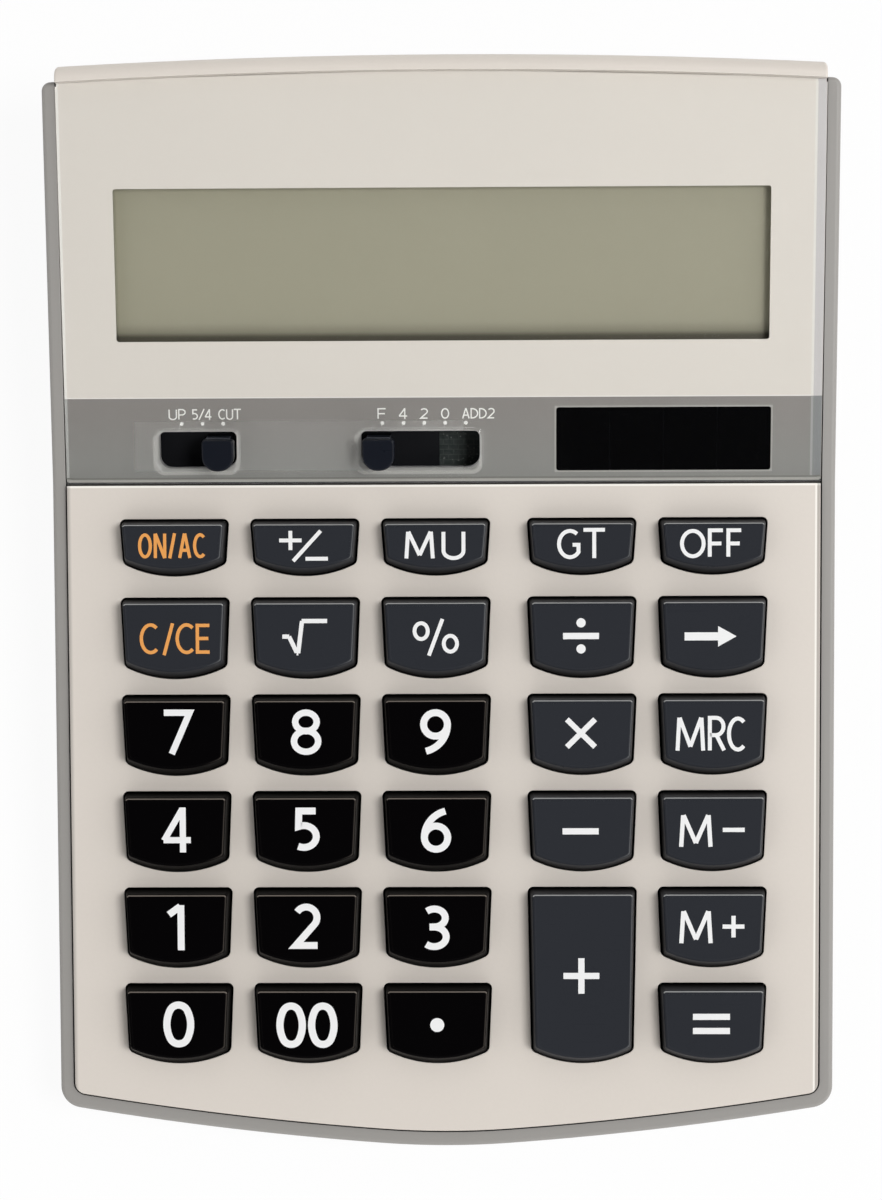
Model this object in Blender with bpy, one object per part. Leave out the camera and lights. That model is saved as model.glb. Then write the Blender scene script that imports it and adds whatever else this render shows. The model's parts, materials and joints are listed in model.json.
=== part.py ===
"""Desktop calculator: a wedge-shaped case with a sloping keypad, a raised display and two slide switches.

Units are metres and +Z is up. The origin is on the table, under the middle of the case, and +Y points to the
display. The keypad and the display each have an empty whose local XY plane is the outer surface there, so
that keys, knobs and boards are placed along the slope, and their local +Z points out of the case.
"""
from math import atan, cos, pi, radians, sin, sqrt, tan

import bmesh
import bpy
from mathutils import Quaternion, Vector

MM = 0.001

# Fits
FIT_GAP = 0.3 * MM              # between pieces that touch, and round pieces that slide
SEAM_GAP = 0.4 * MM             # dark line between the lens and the keypad
OVERRUN = 2.0 * MM              # how far a cut runs past the wall that it opens
MERGE = 1.0 * MM                # how far a boss is sunk into the wall that it grows from

# Slopes and heights
DECK_ANGLE = radians(4.2)
DISPLAY_ANGLE = radians(11.2)
RAIL_ANGLE = radians(10.2)      # top of the side rails beside the display
BOARD_ROOM = 1.2 * MM           # between the floor and the front end of the key board
DISPLAY_STEP = 0.6 * MM         # the lens stands this far above the keypad there
RAIL_DROP = 0.9 * MM            # the rails lie this far below the keypad surface
FOOT_HEIGHT = 1.2 * MM          # table to the underside of the base
FLOOR_THICKNESS = 2.2 * MM

# Keypad plan, along the slope
KEY_WIDTH = 20.6 * MM           # opening, across its top edge
KEY_LENGTH = 15.4 * MM
TOP_KEY_LENGTH = 10.75 * MM
KEY_TAPER = 0.6 * MM            # each side of an opening leans in by this much towards the front
KEY_SAG = 2.4 * MM              # bow of an opening's front edge
KEY_TOP_RADIUS = 1.0 * MM
KEY_FRONT_RADIUS = 1.2 * MM
COLUMN_GAP = 4.0 * MM
WIDE_COLUMN_GAP = 6.85 * MM     # between the numbers and the right-hand block
ROW_GAP = 3.0 * MM
TOP_ROW_GAP = 4.05 * MM
DECK_SIDE_MARGIN = 9.9 * MM
DECK_BACK_MARGIN = 6.55 * MM
DECK_FRONT_MARGIN = 13.2 * MM
DISPLAY_LENGTH = 78.2 * MM      # keypad seam to the back of the case, in plan

# Case outline
NOSE_HALF_WIDTH = 12.0 * MM     # the front bow is tighter over this half width
NOSE_BOW_RADIUS = 165.0 * MM
SIDE_BOW_RADIUS = 640.0 * MM
BACK_BOW_RADIUS = 1380.0 * MM
RAIL_WIDTH = 2.55 * MM
FRONT_RAIL_WIDTH = 2.7 * MM
CASE_CORNER_RADIUS = 5.0 * MM
COVER_LEAST_RADIUS = 1.0 * MM
BACK_CORNER_RADIUS = 1.7 * MM
RAIL_EDGE_RADIUS = 0.9 * MM
COVER_EDGE_RADIUS = 0.5 * MM

# Upper case
DECK_THICKNESS = 2.0 * MM
SKIRT_THICKNESS = 2.0 * MM
SKIRT_DEPTH = 6.0 * MM
SEAT_THICKNESS = 2.0 * MM
BACK_WALL = 2.1 * MM
SHOULDER_RADIUS = 2.1 * MM      # rounding of the back edge
RIDGE_FLAT = 0.9 * MM           # flat of the cream strip behind the lens, before its rounding

# Display lens and what shows through it
LENS_THICKNESS = 2.0 * MM
LENS_BEVEL = 1.5 * MM
LENS_BEVEL_DEPTH = 0.5 * MM
SLOT_DISH = 0.9 * MM            # the lens is hollowed this far round each switch slot
SLOT_DISH_DEPTH = 0.7 * MM
LCD_THICKNESS = 2.0 * MM
LCD_FRONT = 25.2 * MM           # along the slope from the seam
LCD_FROM_BACK = 22.52 * MM      # along the slope from the LCD to the back of the case
HOLDER_MARGIN = 1.5 * MM
HOLDER_HEIGHT = 3.7 * MM
HOLDER_BAR = 2.4 * MM
ZEBRA_THICKNESS = 2.4 * MM
SOLAR_LENGTH = 14.0 * MM
SOLAR_THICKNESS = 1.1 * MM
SOLAR_FROM_SIDE = 8.3 * MM      # right-hand end of the cell to the side of the cover
SOLAR_FROM_SLOT = 13.2 * MM     # left-hand end of the cell to the five-position slot
SOLAR_FRONT = 1.35 * MM         # along the slope from the seam
LEAD_WIDTH = 3.0 * MM
LEAD_THICKNESS = 0.8 * MM
LEAD_FROM_FRONT = 4.0 * MM      # along the solar cell

# Slide switches
SLOT_LENGTH = 6.8 * MM          # front to back
SLOT_CENTRE = 6.45 * MM         # along the slope from the seam
SLOT_BACK_RADIUS = 1.0 * MM
SLOT_FRONT_RADIUS = 2.2 * MM
DETENT_PITCH = 3.9 * MM
KNOB_WIDTH = 6.0 * MM
KNOB_LENGTH = 6.5 * MM
KNOB_OFFSET = 0.4 * MM          # the finger pad sits this far in front of the slot's middle
KNOB_HEIGHT = 2.6 * MM
KNOB_BEVEL = 0.4 * MM
KNOB_BACK_RADIUS = 0.7 * MM
KNOB_FRONT_FLAT = 0.4 * MM      # straight part of the pad's round front
STEM_INSET = 0.8 * MM           # the stem is this much narrower than the pad at each side
STEM_CLEARANCE = 0.9 * MM       # between the stem and the slot, front and back
SHIELD_REACH = 11.3 * MM        # dust shield under the slot, each way from the knob's middle
SHIELD_LAP = 0.5 * MM           # shield beyond the opening that it closes
SHIELD_THICKNESS = 0.8 * MM
SHIELD_RADIUS = 1.2 * MM
WIPER_HEIGHT = 1.2 * MM
WIPER_WIDTH = 3.6 * MM
WIPER_LENGTH = 5.0 * MM
WIPER_SHEET = 0.3 * MM
SWITCH_FROM_SIDE = 28.85 * MM   # left side of the cover to the three-position knob at its right-hand stop
SWITCH_SPACING = 30.0 * MM      # from there to the five-position knob at its left-hand stop
ROUNDING_STEPS = 2
DECIMAL_STEPS = 4

# Keys
KEY_HEIGHT = 4.0 * MM           # above the keypad surface
KEY_CLEARANCE = 0.35 * MM       # between a key and its opening
KEY_DRAFT = 0.45 * MM
KEY_BEVEL = 0.5 * MM
KEY_WALL = 1.2 * MM
KEY_ROOF = 1.4 * MM
KEY_FLANGE = 0.8 * MM           # lip under the deck that keeps the key in
KEY_FLANGE_THICKNESS = 0.9 * MM
KEY_TRAVEL = 2.2 * MM
KEY_LEAST_RADIUS = 0.5 * MM
PLUNGER_RADIUS = 2.0 * MM

# Rubber mat and boards
MAT_THICKNESS = 0.8 * MM
DOME_RADIUS = 4.2 * MM
DOME_TOP_RADIUS = 2.4 * MM
DOME_WALL = 0.8 * MM
DOME_ROOF = 1.0 * MM
BOARD_THICKNESS = 1.2 * MM
BOARD_SIDE_GAP = 0.65 * MM      # between a board and the bosses beside it
KEY_BOARD_FRONT = 5.0 * MM      # board beyond the front openings
KEY_BOARD_BACK = 3.2 * MM       # gap from the seam to the key board
BOARD_CORNER_RADIUS = 1.0 * MM
DISPLAY_BOARD_FRONT = 2.0 * MM
CHIP_SIZE = 12.0 * MM
CHIP_HEIGHT = 1.8 * MM
CHIP_BEVEL = 1.5 * MM
CHIP_X = 18.0 * MM
CHIP_V = 40.0 * MM
RIBBON_WIDTH = 22.0 * MM
RIBBON_THICKNESS = 0.3 * MM
RIBBON_LAP = 6.0 * MM
RIBBON_X = -24.0 * MM
RIBBON_DIP = 1.5 * MM

# Bosses and screws
BOSS_WALL = 1.25 * MM
PILLAR_WALL = 1.3 * MM
SCREW_RADIUS = 1.15 * MM
SCREW_HEAD_RADIUS = 2.4 * MM
SCREW_HEAD_HEIGHT = 1.6 * MM
SCREW_BITE = 4.2 * MM           # length of thread in the upper boss
SCREW_WEB = 1.6 * MM            # pillar material between the head and the upper boss
SCREW_RECESS = 0.6 * MM         # the head sits this far inside the pillar
SCREW_FROM_RAIL = 0.95 * MM     # between a pillar and the side wall
FRONT_SCREW_FROM_NOSE = 18.2 * MM
BACK_SCREW_FROM_BACK = 15.0 * MM
BACK_PILLAR_RISE = 6.5 * MM     # the back screws' seats are this much higher
BOARD_POST_RADIUS = 2.5 * MM
BOARD_SCREW_RADIUS = 0.85 * MM
BOARD_SCREW_BITE = 3.0 * MM
SUPPORT_RADIUS = 2.0 * MM       # posts on the floor that hold up the key board
SUPPORT_X_SHARES = (-0.8, 0.0, 0.8)
SUPPORT_V_SHARES = (0.12, 0.5, 0.88)

# Feet
FOOT_RADIUS = 5.0 * MM
FOOT_RECESS = 0.7 * MM
FOOT_BEVEL = 0.4 * MM
FOOT_FROM_SIDE = 18.0 * MM
FOOT_FROM_NOSE = 26.0 * MM
FOOT_FROM_BACK = 12.0 * MM

# Battery bay
CELL_RADIUS = 5.8 * MM
CELL_HEIGHT = 5.4 * MM
CELL_BEVEL = 0.5 * MM
BAY_WALL = 1.5 * MM
BAY_MARGIN = 3.2 * MM           # room between the cell and the bay wall
DOOR_LAP = 4.0 * MM             # door beyond the bay
DOOR_THICKNESS = 0.8 * MM
DOOR_TONGUE = 1.4 * MM
DOOR_TONGUE_THICKNESS = 0.8 * MM
DOOR_HOUSING = 1.3 * MM         # roof over the door's tongues
CONTACT_SHEET = 0.35 * MM
CONTACT_WIDTH = 6.0 * MM
CONTACT_ROOM = 2.6 * MM         # bay wall above the contact

# Facets of round shapes
CORNER_STEPS = 2
BOW_STATIONS = 6
ROUND_SIDES = 12
DOME_SIDES = 8
FOOT_SIDES = 20
SMOOTH_ANGLE = radians(30)
NOSE_SHARES = (0.5, 1.0)        # of the tighter bow's half width
EDGE_SHARES = (0.0, 0.5, 0.85, 1.0)
SHOULDER_SHARES = (1.0, 0.66, 0.33, 0.0)
KEY_BOW_SHARES = (-0.5, 0.0, 0.5)

KEY_ROWS = (
    ("key_on", "key_sign", "key_mu", "key_gt", "key_off"),
    ("key_clear", "key_root", "key_percent", "key_divide", "key_backspace"),
    ("key_7", "key_8", "key_9", "key_multiply", "key_mrc"),
    ("key_4", "key_5", "key_6", "key_minus", "key_m_minus"),
    ("key_1", "key_2", "key_3", "key_plus", "key_m_plus"),
    ("key_0", "key_00", "key_point", None, "key_equals"),
)
TALL_KEY = "key_plus"           # fills its own row and the empty place below it
NUMBER_ROWS = range(2, 6)
NUMBER_COLUMNS = range(0, 3)

# Heights along the keypad's own normal
FLANGE_TOP_W = -DECK_THICKNESS - FIT_GAP
FLANGE_UNDER_W = FLANGE_TOP_W - KEY_FLANGE_THICKNESS
DOME_TOP_W = FLANGE_UNDER_W - FIT_GAP
MAT_TOP_W = FLANGE_UNDER_W - KEY_TRAVEL - FIT_GAP
KEY_BOARD_W = MAT_TOP_W - MAT_THICKNESS - FIT_GAP
KEY_BOARD_UNDER_W = KEY_BOARD_W - BOARD_THICKNESS

# Heights along the display's own normal
SEAT_W = -LENS_THICKNESS - FIT_GAP
SEAT_UNDER_W = SEAT_W - SEAT_THICKNESS
LCD_TOP_W = SEAT_W - FIT_GAP
HOLDER_TOP_W = LCD_TOP_W - LCD_THICKNESS - FIT_GAP
DISPLAY_BOARD_W = HOLDER_TOP_W - HOLDER_HEIGHT - FIT_GAP
DISPLAY_BOARD_UNDER_W = DISPLAY_BOARD_W - BOARD_THICKNESS
SHIELD_TOP_W = SEAT_UNDER_W - FIT_GAP
WIPER_UNDER_W = DISPLAY_BOARD_W + FIT_GAP
KNOB_FOOT_W = WIPER_UNDER_W + WIPER_HEIGHT + FIT_GAP

# Plan of the case
COLUMN_PITCH = KEY_WIDTH + COLUMN_GAP
KEYS_HALF_WIDTH = (3 * COLUMN_PITCH + KEY_WIDTH + WIDE_COLUMN_GAP + KEY_WIDTH) / 2
COVER_HALF = KEYS_HALF_WIDTH + DECK_SIDE_MARGIN
CASE_HALF = COVER_HALF + FIT_GAP + RAIL_WIDTH
KEYS_LENGTH = TOP_KEY_LENGTH + TOP_ROW_GAP + 5 * KEY_LENGTH + 4 * ROW_GAP
DECK_LENGTH = DECK_BACK_MARGIN + KEYS_LENGTH + DECK_FRONT_MARGIN
CASE_LENGTH = FRONT_RAIL_WIDTH + FIT_GAP + DECK_LENGTH * cos(DECK_ANGLE) + DISPLAY_LENGTH
CASE_BACK = CASE_LENGTH / 2
CASE_NOSE = -CASE_LENGTH / 2
COVER_NOSE = CASE_NOSE + FRONT_RAIL_WIDTH + FIT_GAP
COVER_CORNER_RADIUS = max(CASE_CORNER_RADIUS - RAIL_WIDTH - FIT_GAP, COVER_LEAST_RADIUS)
RIDGE_WIDTH = SHOULDER_RADIUS + RIDGE_FLAT
JUNCTION_Y = CASE_BACK - DISPLAY_LENGTH
DECK_END_Y = JUNCTION_Y - SEAM_GAP / 2
LENS_FRONT_Y = JUNCTION_Y + SEAM_GAP / 2
FLOOR_TOP = FOOT_HEIGHT + FLOOR_THICKNESS

# The key board's front end clears the floor, and that sets the height of the seam
KEY_BOARD_FRONT_V = -DECK_BACK_MARGIN - KEYS_LENGTH - KEY_BOARD_FRONT
KEY_BOARD_BACK_V = -KEY_BOARD_BACK
BOARD_FRONT_RISE = -KEY_BOARD_FRONT_V * sin(DECK_ANGLE) - KEY_BOARD_UNDER_W * cos(DECK_ANGLE)
JUNCTION_HEIGHT = FLOOR_TOP + BOARD_ROOM + BOARD_FRONT_RISE

# Bosses, and the boards that fit between them
PILLAR_RADIUS = SCREW_HEAD_RADIUS + FIT_GAP + PILLAR_WALL
BOSS_RADIUS = SCREW_RADIUS + FIT_GAP + BOSS_WALL
CASE_SCREW_X = COVER_HALF + FIT_GAP - SCREW_FROM_RAIL - PILLAR_RADIUS
KEY_BOARD_HALF = CASE_SCREW_X - PILLAR_RADIUS - BOARD_SIDE_GAP
DISPLAY_BOARD_HALF = CASE_SCREW_X - BOSS_RADIUS - BOARD_SIDE_GAP
BOARD_POST_X = DISPLAY_BOARD_HALF - BOARD_POST_RADIUS - BOARD_SIDE_GAP

# Switch knobs
KNOB_CENTRE = SLOT_CENTRE - KNOB_OFFSET
KNOB_FRONT_RADIUS = KNOB_WIDTH / 2 - KNOB_FRONT_FLAT / 2
STEM_WIDTH = KNOB_WIDTH - 2 * STEM_INSET
STEM_LENGTH = SLOT_LENGTH - 2 * STEM_CLEARANCE
ROUNDING_REST_X = SWITCH_FROM_SIDE - COVER_HALF
DECIMAL_REST_X = ROUNDING_REST_X + SWITCH_SPACING
DECIMAL_SLOT_END = DECIMAL_REST_X + DECIMAL_STEPS * DETENT_PITCH + KNOB_WIDTH / 2 + FIT_GAP

# Pieces along the display, from the seam
LCD_LENGTH = DISPLAY_LENGTH / cos(DISPLAY_ANGLE) - LCD_FRONT - LCD_FROM_BACK
LCD_WIDTH = 2 * (DISPLAY_BOARD_HALF - HOLDER_MARGIN)
LCD_CENTRE = LCD_FRONT + LCD_LENGTH / 2
HOLDER_FRONT = LCD_FRONT - HOLDER_MARGIN
HOLDER_BACK = LCD_FRONT + LCD_LENGTH + HOLDER_MARGIN
ZEBRA_WIDTH = LCD_WIDTH - 2 * HOLDER_BAR
SOLAR_LEFT = DECIMAL_SLOT_END + SOLAR_FROM_SLOT
SOLAR_WIDTH = COVER_HALF - SOLAR_FROM_SIDE - SOLAR_LEFT
SOLAR_X = SOLAR_LEFT + SOLAR_WIDTH / 2
SOLAR_CENTRE = SOLAR_FRONT + SOLAR_LENGTH / 2
SOLAR_UNDER_W = SEAT_W - SOLAR_THICKNESS
LEAD_V = SOLAR_FRONT + LEAD_FROM_FRONT
SHIELD_LENGTH = SLOT_LENGTH + 2 * (SLOT_DISH + SHIELD_LAP)
BOARD_PEG_V = (SLOT_CENTRE + SHIELD_LENGTH / 2 + HOLDER_FRONT) / 2
BOARD_SCREW_V = HOLDER_BACK + BOARD_SIDE_GAP + BOARD_POST_RADIUS
DISPLAY_BOARD_BACK = BOARD_SCREW_V + BOARD_POST_RADIUS + BOARD_SIDE_GAP

# Battery bay
BAY_HALF = CELL_RADIUS + BAY_MARGIN
DOOR_WIDTH = 2 * (BAY_HALF + DOOR_LAP)
DOOR_LENGTH = 2 * (BAY_HALF + DOOR_LAP)
DOOR_FRONT = CASE_BACK - DOOR_LENGTH
DOOR_TOP_Z = FOOT_HEIGHT + DOOR_THICKNESS + DOOR_TONGUE_THICKNESS
CELL_BOTTOM_Z = DOOR_TOP_Z + FIT_GAP
CELL_TOP_Z = CELL_BOTTOM_Z + CELL_HEIGHT
CELL_Y = CASE_BACK - BACK_WALL - DOOR_LENGTH / 2
CONTACT_TOP_Z = CELL_TOP_Z + FIT_GAP + CONTACT_SHEET
BAY_TOP_Z = CONTACT_TOP_Z + CONTACT_ROOM


def clear_scene():
    """Remove every object that the file opened with."""
    for obj in list(bpy.data.objects):
        bpy.data.objects.remove(obj, do_unlink=True)


def make_material(name, color, roughness, metallic=0.0):
    """A Principled material of one plain finish."""
    material = bpy.data.materials.new(name)
    material.use_nodes = True
    shader = material.node_tree.nodes["Principled BSDF"]
    shader.inputs["Base Color"].default_value = (*color, 1.0)
    shader.inputs["Roughness"].default_value = roughness
    shader.inputs["Metallic"].default_value = metallic
    return material


def make_empty(name, location, tilt):
    """A frame for pieces that follow one of the sloping surfaces."""
    empty = bpy.data.objects.new(name, None)
    empty.location = location
    empty.rotation_euler.x = tilt
    bpy.context.scene.collection.objects.link(empty)
    return empty


def make_object(name, bm, material=None, parent=None, location=(0, 0, 0)):
    """Turn a bmesh into a linked object with its faces pointing out."""
    bmesh.ops.recalc_face_normals(bm, faces=bm.faces)
    mesh = bpy.data.meshes.new(name)
    bm.to_mesh(mesh)
    bm.free()
    mesh.shade_smooth()
    mesh.set_sharp_from_angle(angle=SMOOTH_ANGLE)
    if material:
        mesh.materials.append(material)
    obj = bpy.data.objects.new(name, mesh)
    obj.location = location
    obj.parent = parent
    bpy.context.scene.collection.objects.link(obj)
    return obj


def add_loft(bm, rings):
    """Skin a run of closed rings of equal length, with a flat cap at each end."""
    loops = [[bm.verts.new(point) for point in ring] for ring in rings]
    for lower, upper in zip(loops, loops[1:]):
        for i, vert in enumerate(lower):
            j = (i + 1) % len(lower)
            bm.faces.new((vert, lower[j], upper[j], upper[i]))
    bm.faces.new(loops[0])
    bm.faces.new(loops[-1])


def loft(rings):
    """A bmesh that holds one loft."""
    bm = bmesh.new()
    add_loft(bm, rings)
    return bm


def at_height(outline, height):
    """Lift a flat outline to a ring at one height."""
    return [(x, y, height) for x, y in outline]


def add_prism(bm, outline, low, high):
    """A straight prism on a flat outline."""
    add_loft(bm, [at_height(outline, low), at_height(outline, high)])


def circle(x, y, radius, sides=ROUND_SIDES):
    """A round outline."""
    turns = (2 * pi * i / sides for i in range(sides))
    return [(x + radius * cos(turn), y + radius * sin(turn)) for turn in turns]


def rectangle(x, y, width, length):
    """A rectangular outline round a centre, anticlockwise."""
    half_x = width / 2
    half_y = length / 2
    corners = [(half_x, half_y), (-half_x, half_y), (-half_x, -half_y), (half_x, -half_y)]
    return [(x + corner_x, y + corner_y) for corner_x, corner_y in corners]


def inset_outline(points, inset):
    """Move every side of an anticlockwise outline inwards; a negative inset moves them out."""
    corners = [Vector(point) for point in points]
    sides = []
    for start, end in zip(corners, corners[1:] + corners[:1]):
        along = (end - start).normalized()
        inward = Vector((-along.y, along.x))
        sides.append((start + inward * inset, along))
    moved = []
    for (start_a, along_a), (start_b, along_b) in zip(sides[-1:] + sides[:-1], sides):
        reach = (start_b - start_a).cross(along_b) / along_a.cross(along_b)
        moved.append(tuple(start_a + along_a * reach))
    return moved


def round_corners(points, radii, steps=CORNER_STEPS):
    """Replace each corner that has a radius by an arc of steps + 1 points."""
    rounded = []
    for i, radius in enumerate(radii):
        corner = Vector(points[i])
        if not radius:
            rounded.append(tuple(corner))
            continue
        to_last = (Vector(points[i - 1]) - corner).normalized()
        to_next = (Vector(points[(i + 1) % len(points)]) - corner).normalized()
        half_angle = to_last.angle(to_next) / 2
        centre = corner + (to_last + to_next).normalized() * radius / sin(half_angle)
        first = corner + to_last * radius / tan(half_angle) - centre
        turn = pi - 2 * half_angle
        side = 1 if to_last.cross(to_next) < 0 else -1
        for k in range(steps + 1):
            spoke = first.to_3d()
            spoke.rotate(Quaternion((0, 0, 1), side * turn * k / steps))
            rounded.append(tuple(centre + spoke.to_2d()))
    return rounded


def rounded_box(x, y, width, length, back_radius, front_radius):
    """A rectangular outline with one radius at its back corners and one at its front corners."""
    radii = (back_radius, back_radius, front_radius, front_radius)
    return round_corners(rectangle(x, y, width, length), radii)


def combine(target, tool, operation):
    """Join a tool to a target, or cut the target with it, and keep the tool as a hidden guide."""
    modifier = target.modifiers.new(tool.name, "BOOLEAN")
    modifier.object = tool
    modifier.operation = operation
    modifier.solver = "EXACT"
    tool.hide_render = True
    tool.display_type = "WIRE"


def edge_drop(distance, radius):
    """How far a rounded edge has fallen at a distance from the outer face."""
    if distance >= radius:
        return 0.0
    return radius - sqrt(radius ** 2 - (radius - distance) ** 2)


def front_turn(x):
    """Sine of the angle that the front edge turns through between the nose and a place beside it."""
    x = abs(x)
    if x <= NOSE_HALF_WIDTH:
        return x / NOSE_BOW_RADIUS
    return NOSE_HALF_WIDTH / NOSE_BOW_RADIUS + (x - NOSE_HALF_WIDTH) / SIDE_BOW_RADIUS


def front_bow(x):
    """Distance of the front edge behind the nose: a tighter arc in the middle, a wider one each side."""
    cosine = sqrt(1 - front_turn(x) ** 2)
    if abs(x) <= NOSE_HALF_WIDTH:
        return NOSE_BOW_RADIUS * (1 - cosine)
    nose_cosine = sqrt(1 - front_turn(NOSE_HALF_WIDTH) ** 2)
    return NOSE_BOW_RADIUS * (1 - nose_cosine) + SIDE_BOW_RADIUS * (nose_cosine - cosine)


def back_bow(x):
    """Distance of the back edge in front of its middle."""
    return BACK_BOW_RADIUS - sqrt(BACK_BOW_RADIUS ** 2 - x ** 2)


class Plan:
    """Outline of a shell seen from above: a bowed front, straight sides and a slightly bowed back."""

    def __init__(self, half, nose, tail, front_radius, back_radius):
        self.half = half
        self.nose = nose
        self.tail = tail
        self.front_radius = front_radius
        self.back_radius = back_radius
        start = half - front_radius
        turn = front_turn(start)
        self.front_centre = nose + front_bow(start) + front_radius / sqrt(1 - turn ** 2)
        self.front_tangent = start + front_radius * turn

    def corner_reach(self, x, radius):
        """How far round a corner of this radius a place lies: 0 at its start, 1 on the side."""
        return min(max((abs(x) - self.half + radius) / radius, 0.0), 1.0)

    def front(self, x):
        """Y of the front edge."""
        if abs(x) <= self.front_tangent:
            return self.nose + front_bow(x)
        reach = self.corner_reach(x, self.front_radius)
        return self.front_centre - self.front_radius * sqrt(1 - reach ** 2)

    def facing_front(self, x):
        """1 where the front edge faces forwards, and nearly 0 where it has turned to the side."""
        reach = self.corner_reach(x, self.front_radius)
        return max(sqrt(1 - reach ** 2), FIT_GAP / self.front_radius)

    def back(self, x):
        """Y of the back edge."""
        reach = self.corner_reach(x, self.back_radius)
        return self.tail - back_bow(x) - self.back_radius * (1 - sqrt(1 - reach ** 2))

    def stations(self, edge_radius):
        """Places across the width where the shell gets a cross section."""
        bow_end = self.half - self.front_radius
        places = {0.0, bow_end}
        places.update(NOSE_HALF_WIDTH * share for share in NOSE_SHARES)
        spread = bow_end - NOSE_HALF_WIDTH
        places.update(NOSE_HALF_WIDTH + spread * k / BOW_STATIONS for k in range(1, BOW_STATIONS))
        for radius in (self.front_radius, self.back_radius, edge_radius):
            for share in EDGE_SHARES:
                places.add(self.half - radius + radius * share)
        ordered = sorted(places)
        kept = [ordered[0]]
        for place in ordered[1:]:
            if place - kept[-1] > FIT_GAP / 2:
                kept.append(place)
        kept[-1] = self.half
        return [-place for place in reversed(kept[1:])] + kept


def across(stations, section):
    """Rings of (x, y, z) points from a section function that gives (y, z) points at each station."""
    return [[(x, y, z) for y, z in section(x)] for x in stations]


def deck_z(y):
    """Height of the keypad surface."""
    return JUNCTION_HEIGHT + (y - JUNCTION_Y) * tan(DECK_ANGLE)


def lens_z(y):
    """Height of the lens surface."""
    return JUNCTION_HEIGHT + DISPLAY_STEP + (y - JUNCTION_Y) * tan(DISPLAY_ANGLE)


def seat_z(y):
    """Height of the seat under the lens."""
    return lens_z(y) + SEAT_W / cos(DISPLAY_ANGLE)


def rail_z(y):
    """Height of the top of the rails."""
    angle = DECK_ANGLE if y < JUNCTION_Y else RAIL_ANGLE
    return JUNCTION_HEIGHT - RAIL_DROP + (y - JUNCTION_Y) * tan(angle)


def key_places():
    """Name, centre, length and column of every key: (name, x, v, length, row, column)."""
    first_x = -KEYS_HALF_WIDTH + KEY_WIDTH / 2
    back_v = -DECK_BACK_MARGIN
    places = []
    for row, names in enumerate(KEY_ROWS):
        length = TOP_KEY_LENGTH if row == 0 else KEY_LENGTH
        for column, name in enumerate(names):
            if not name:
                continue
            x = first_x + column * COLUMN_PITCH
            if column > max(NUMBER_COLUMNS):
                x += WIDE_COLUMN_GAP - COLUMN_GAP
            reach = 2 * KEY_LENGTH + ROW_GAP if name == TALL_KEY else length
            places.append((name, x, back_v - reach / 2, reach, row, column))
        back_v -= length + (TOP_ROW_GAP if row == 0 else ROW_GAP)
    return places


def key_outline(length, inset):
    """Outline of a key opening round its centre, moved in by an inset: straight back, bowed front."""
    half = KEY_WIDTH / 2
    front_half = half - KEY_TAPER
    back = length / 2
    front = -length / 2
    radius = (front_half ** 2 + KEY_SAG ** 2) / (2 * KEY_SAG)
    bow = [front_half * share for share in KEY_BOW_SHARES]
    points = [(half, back), (-half, back), (-front_half, front + KEY_SAG)]
    points += [(x, front + radius - sqrt(radius ** 2 - x ** 2)) for x in bow]
    points.append((front_half, front + KEY_SAG))
    back_radius = max(KEY_TOP_RADIUS - inset, KEY_LEAST_RADIUS)
    front_radius = max(KEY_FRONT_RADIUS - inset, KEY_LEAST_RADIUS)
    radii = (back_radius, back_radius, front_radius, 0.0, 0.0, 0.0, front_radius)
    return round_corners(inset_outline(points, inset), radii)


def key_rings(length):
    """A hollow key cap with a retaining lip, and a plunger inside that presses the rubber dome."""
    side = KEY_CLEARANCE + KEY_DRAFT
    roof_inset = side + KEY_WALL
    skirt_inset = KEY_CLEARANCE + KEY_WALL
    rings = [
        at_height(key_outline(length, side + KEY_BEVEL), KEY_HEIGHT),
        at_height(key_outline(length, side), KEY_HEIGHT - KEY_BEVEL),
        at_height(key_outline(length, KEY_CLEARANCE), FLANGE_TOP_W),
        at_height(key_outline(length, -KEY_FLANGE), FLANGE_TOP_W),
        at_height(key_outline(length, -KEY_FLANGE), FLANGE_UNDER_W),
        at_height(key_outline(length, skirt_inset), FLANGE_UNDER_W),
        at_height(key_outline(length, roof_inset), KEY_HEIGHT - KEY_ROOF),
    ]
    plunger = []
    for x, y in key_outline(length, roof_inset):
        reach = sqrt(x ** 2 + y ** 2)
        plunger.append((x * PLUNGER_RADIUS / reach, y * PLUNGER_RADIUS / reach))
    rings.append(at_height(plunger, KEY_HEIGHT - KEY_ROOF))
    rings.append(at_height(plunger, FLANGE_UNDER_W))
    return rings


def make_keys(deck, slate, black):
    """All key caps, each with its origin on its own line of travel."""
    meshes = {}
    for name, x, v, length, row, column in key_places():
        is_number = row in NUMBER_ROWS and column in NUMBER_COLUMNS
        material = black if is_number else slate
        kind = (length, is_number)
        if kind in meshes:
            key = bpy.data.objects.new(name, meshes[kind])
            key.location = (x, v, 0)
            key.parent = deck
            bpy.context.scene.collection.objects.link(key)
        else:
            key = make_object(name, loft(key_rings(length)), material, deck, (x, v, 0))
            meshes[kind] = key.data


def case_screw_places():
    """Place and seat height of the four case screws: (name, x, y, height of the head's seat)."""
    seat = FLOOR_TOP + SCREW_RECESS
    front_y = CASE_NOSE + FRONT_SCREW_FROM_NOSE
    back_y = CASE_BACK - BACK_SCREW_FROM_BACK
    return (
        ("case_screw_front_left", -CASE_SCREW_X, front_y, seat),
        ("case_screw_front_right", CASE_SCREW_X, front_y, seat),
        ("case_screw_back_left", -CASE_SCREW_X, back_y, seat + BACK_PILLAR_RISE),
        ("case_screw_back_right", CASE_SCREW_X, back_y, seat + BACK_PILLAR_RISE),
    )


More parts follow.
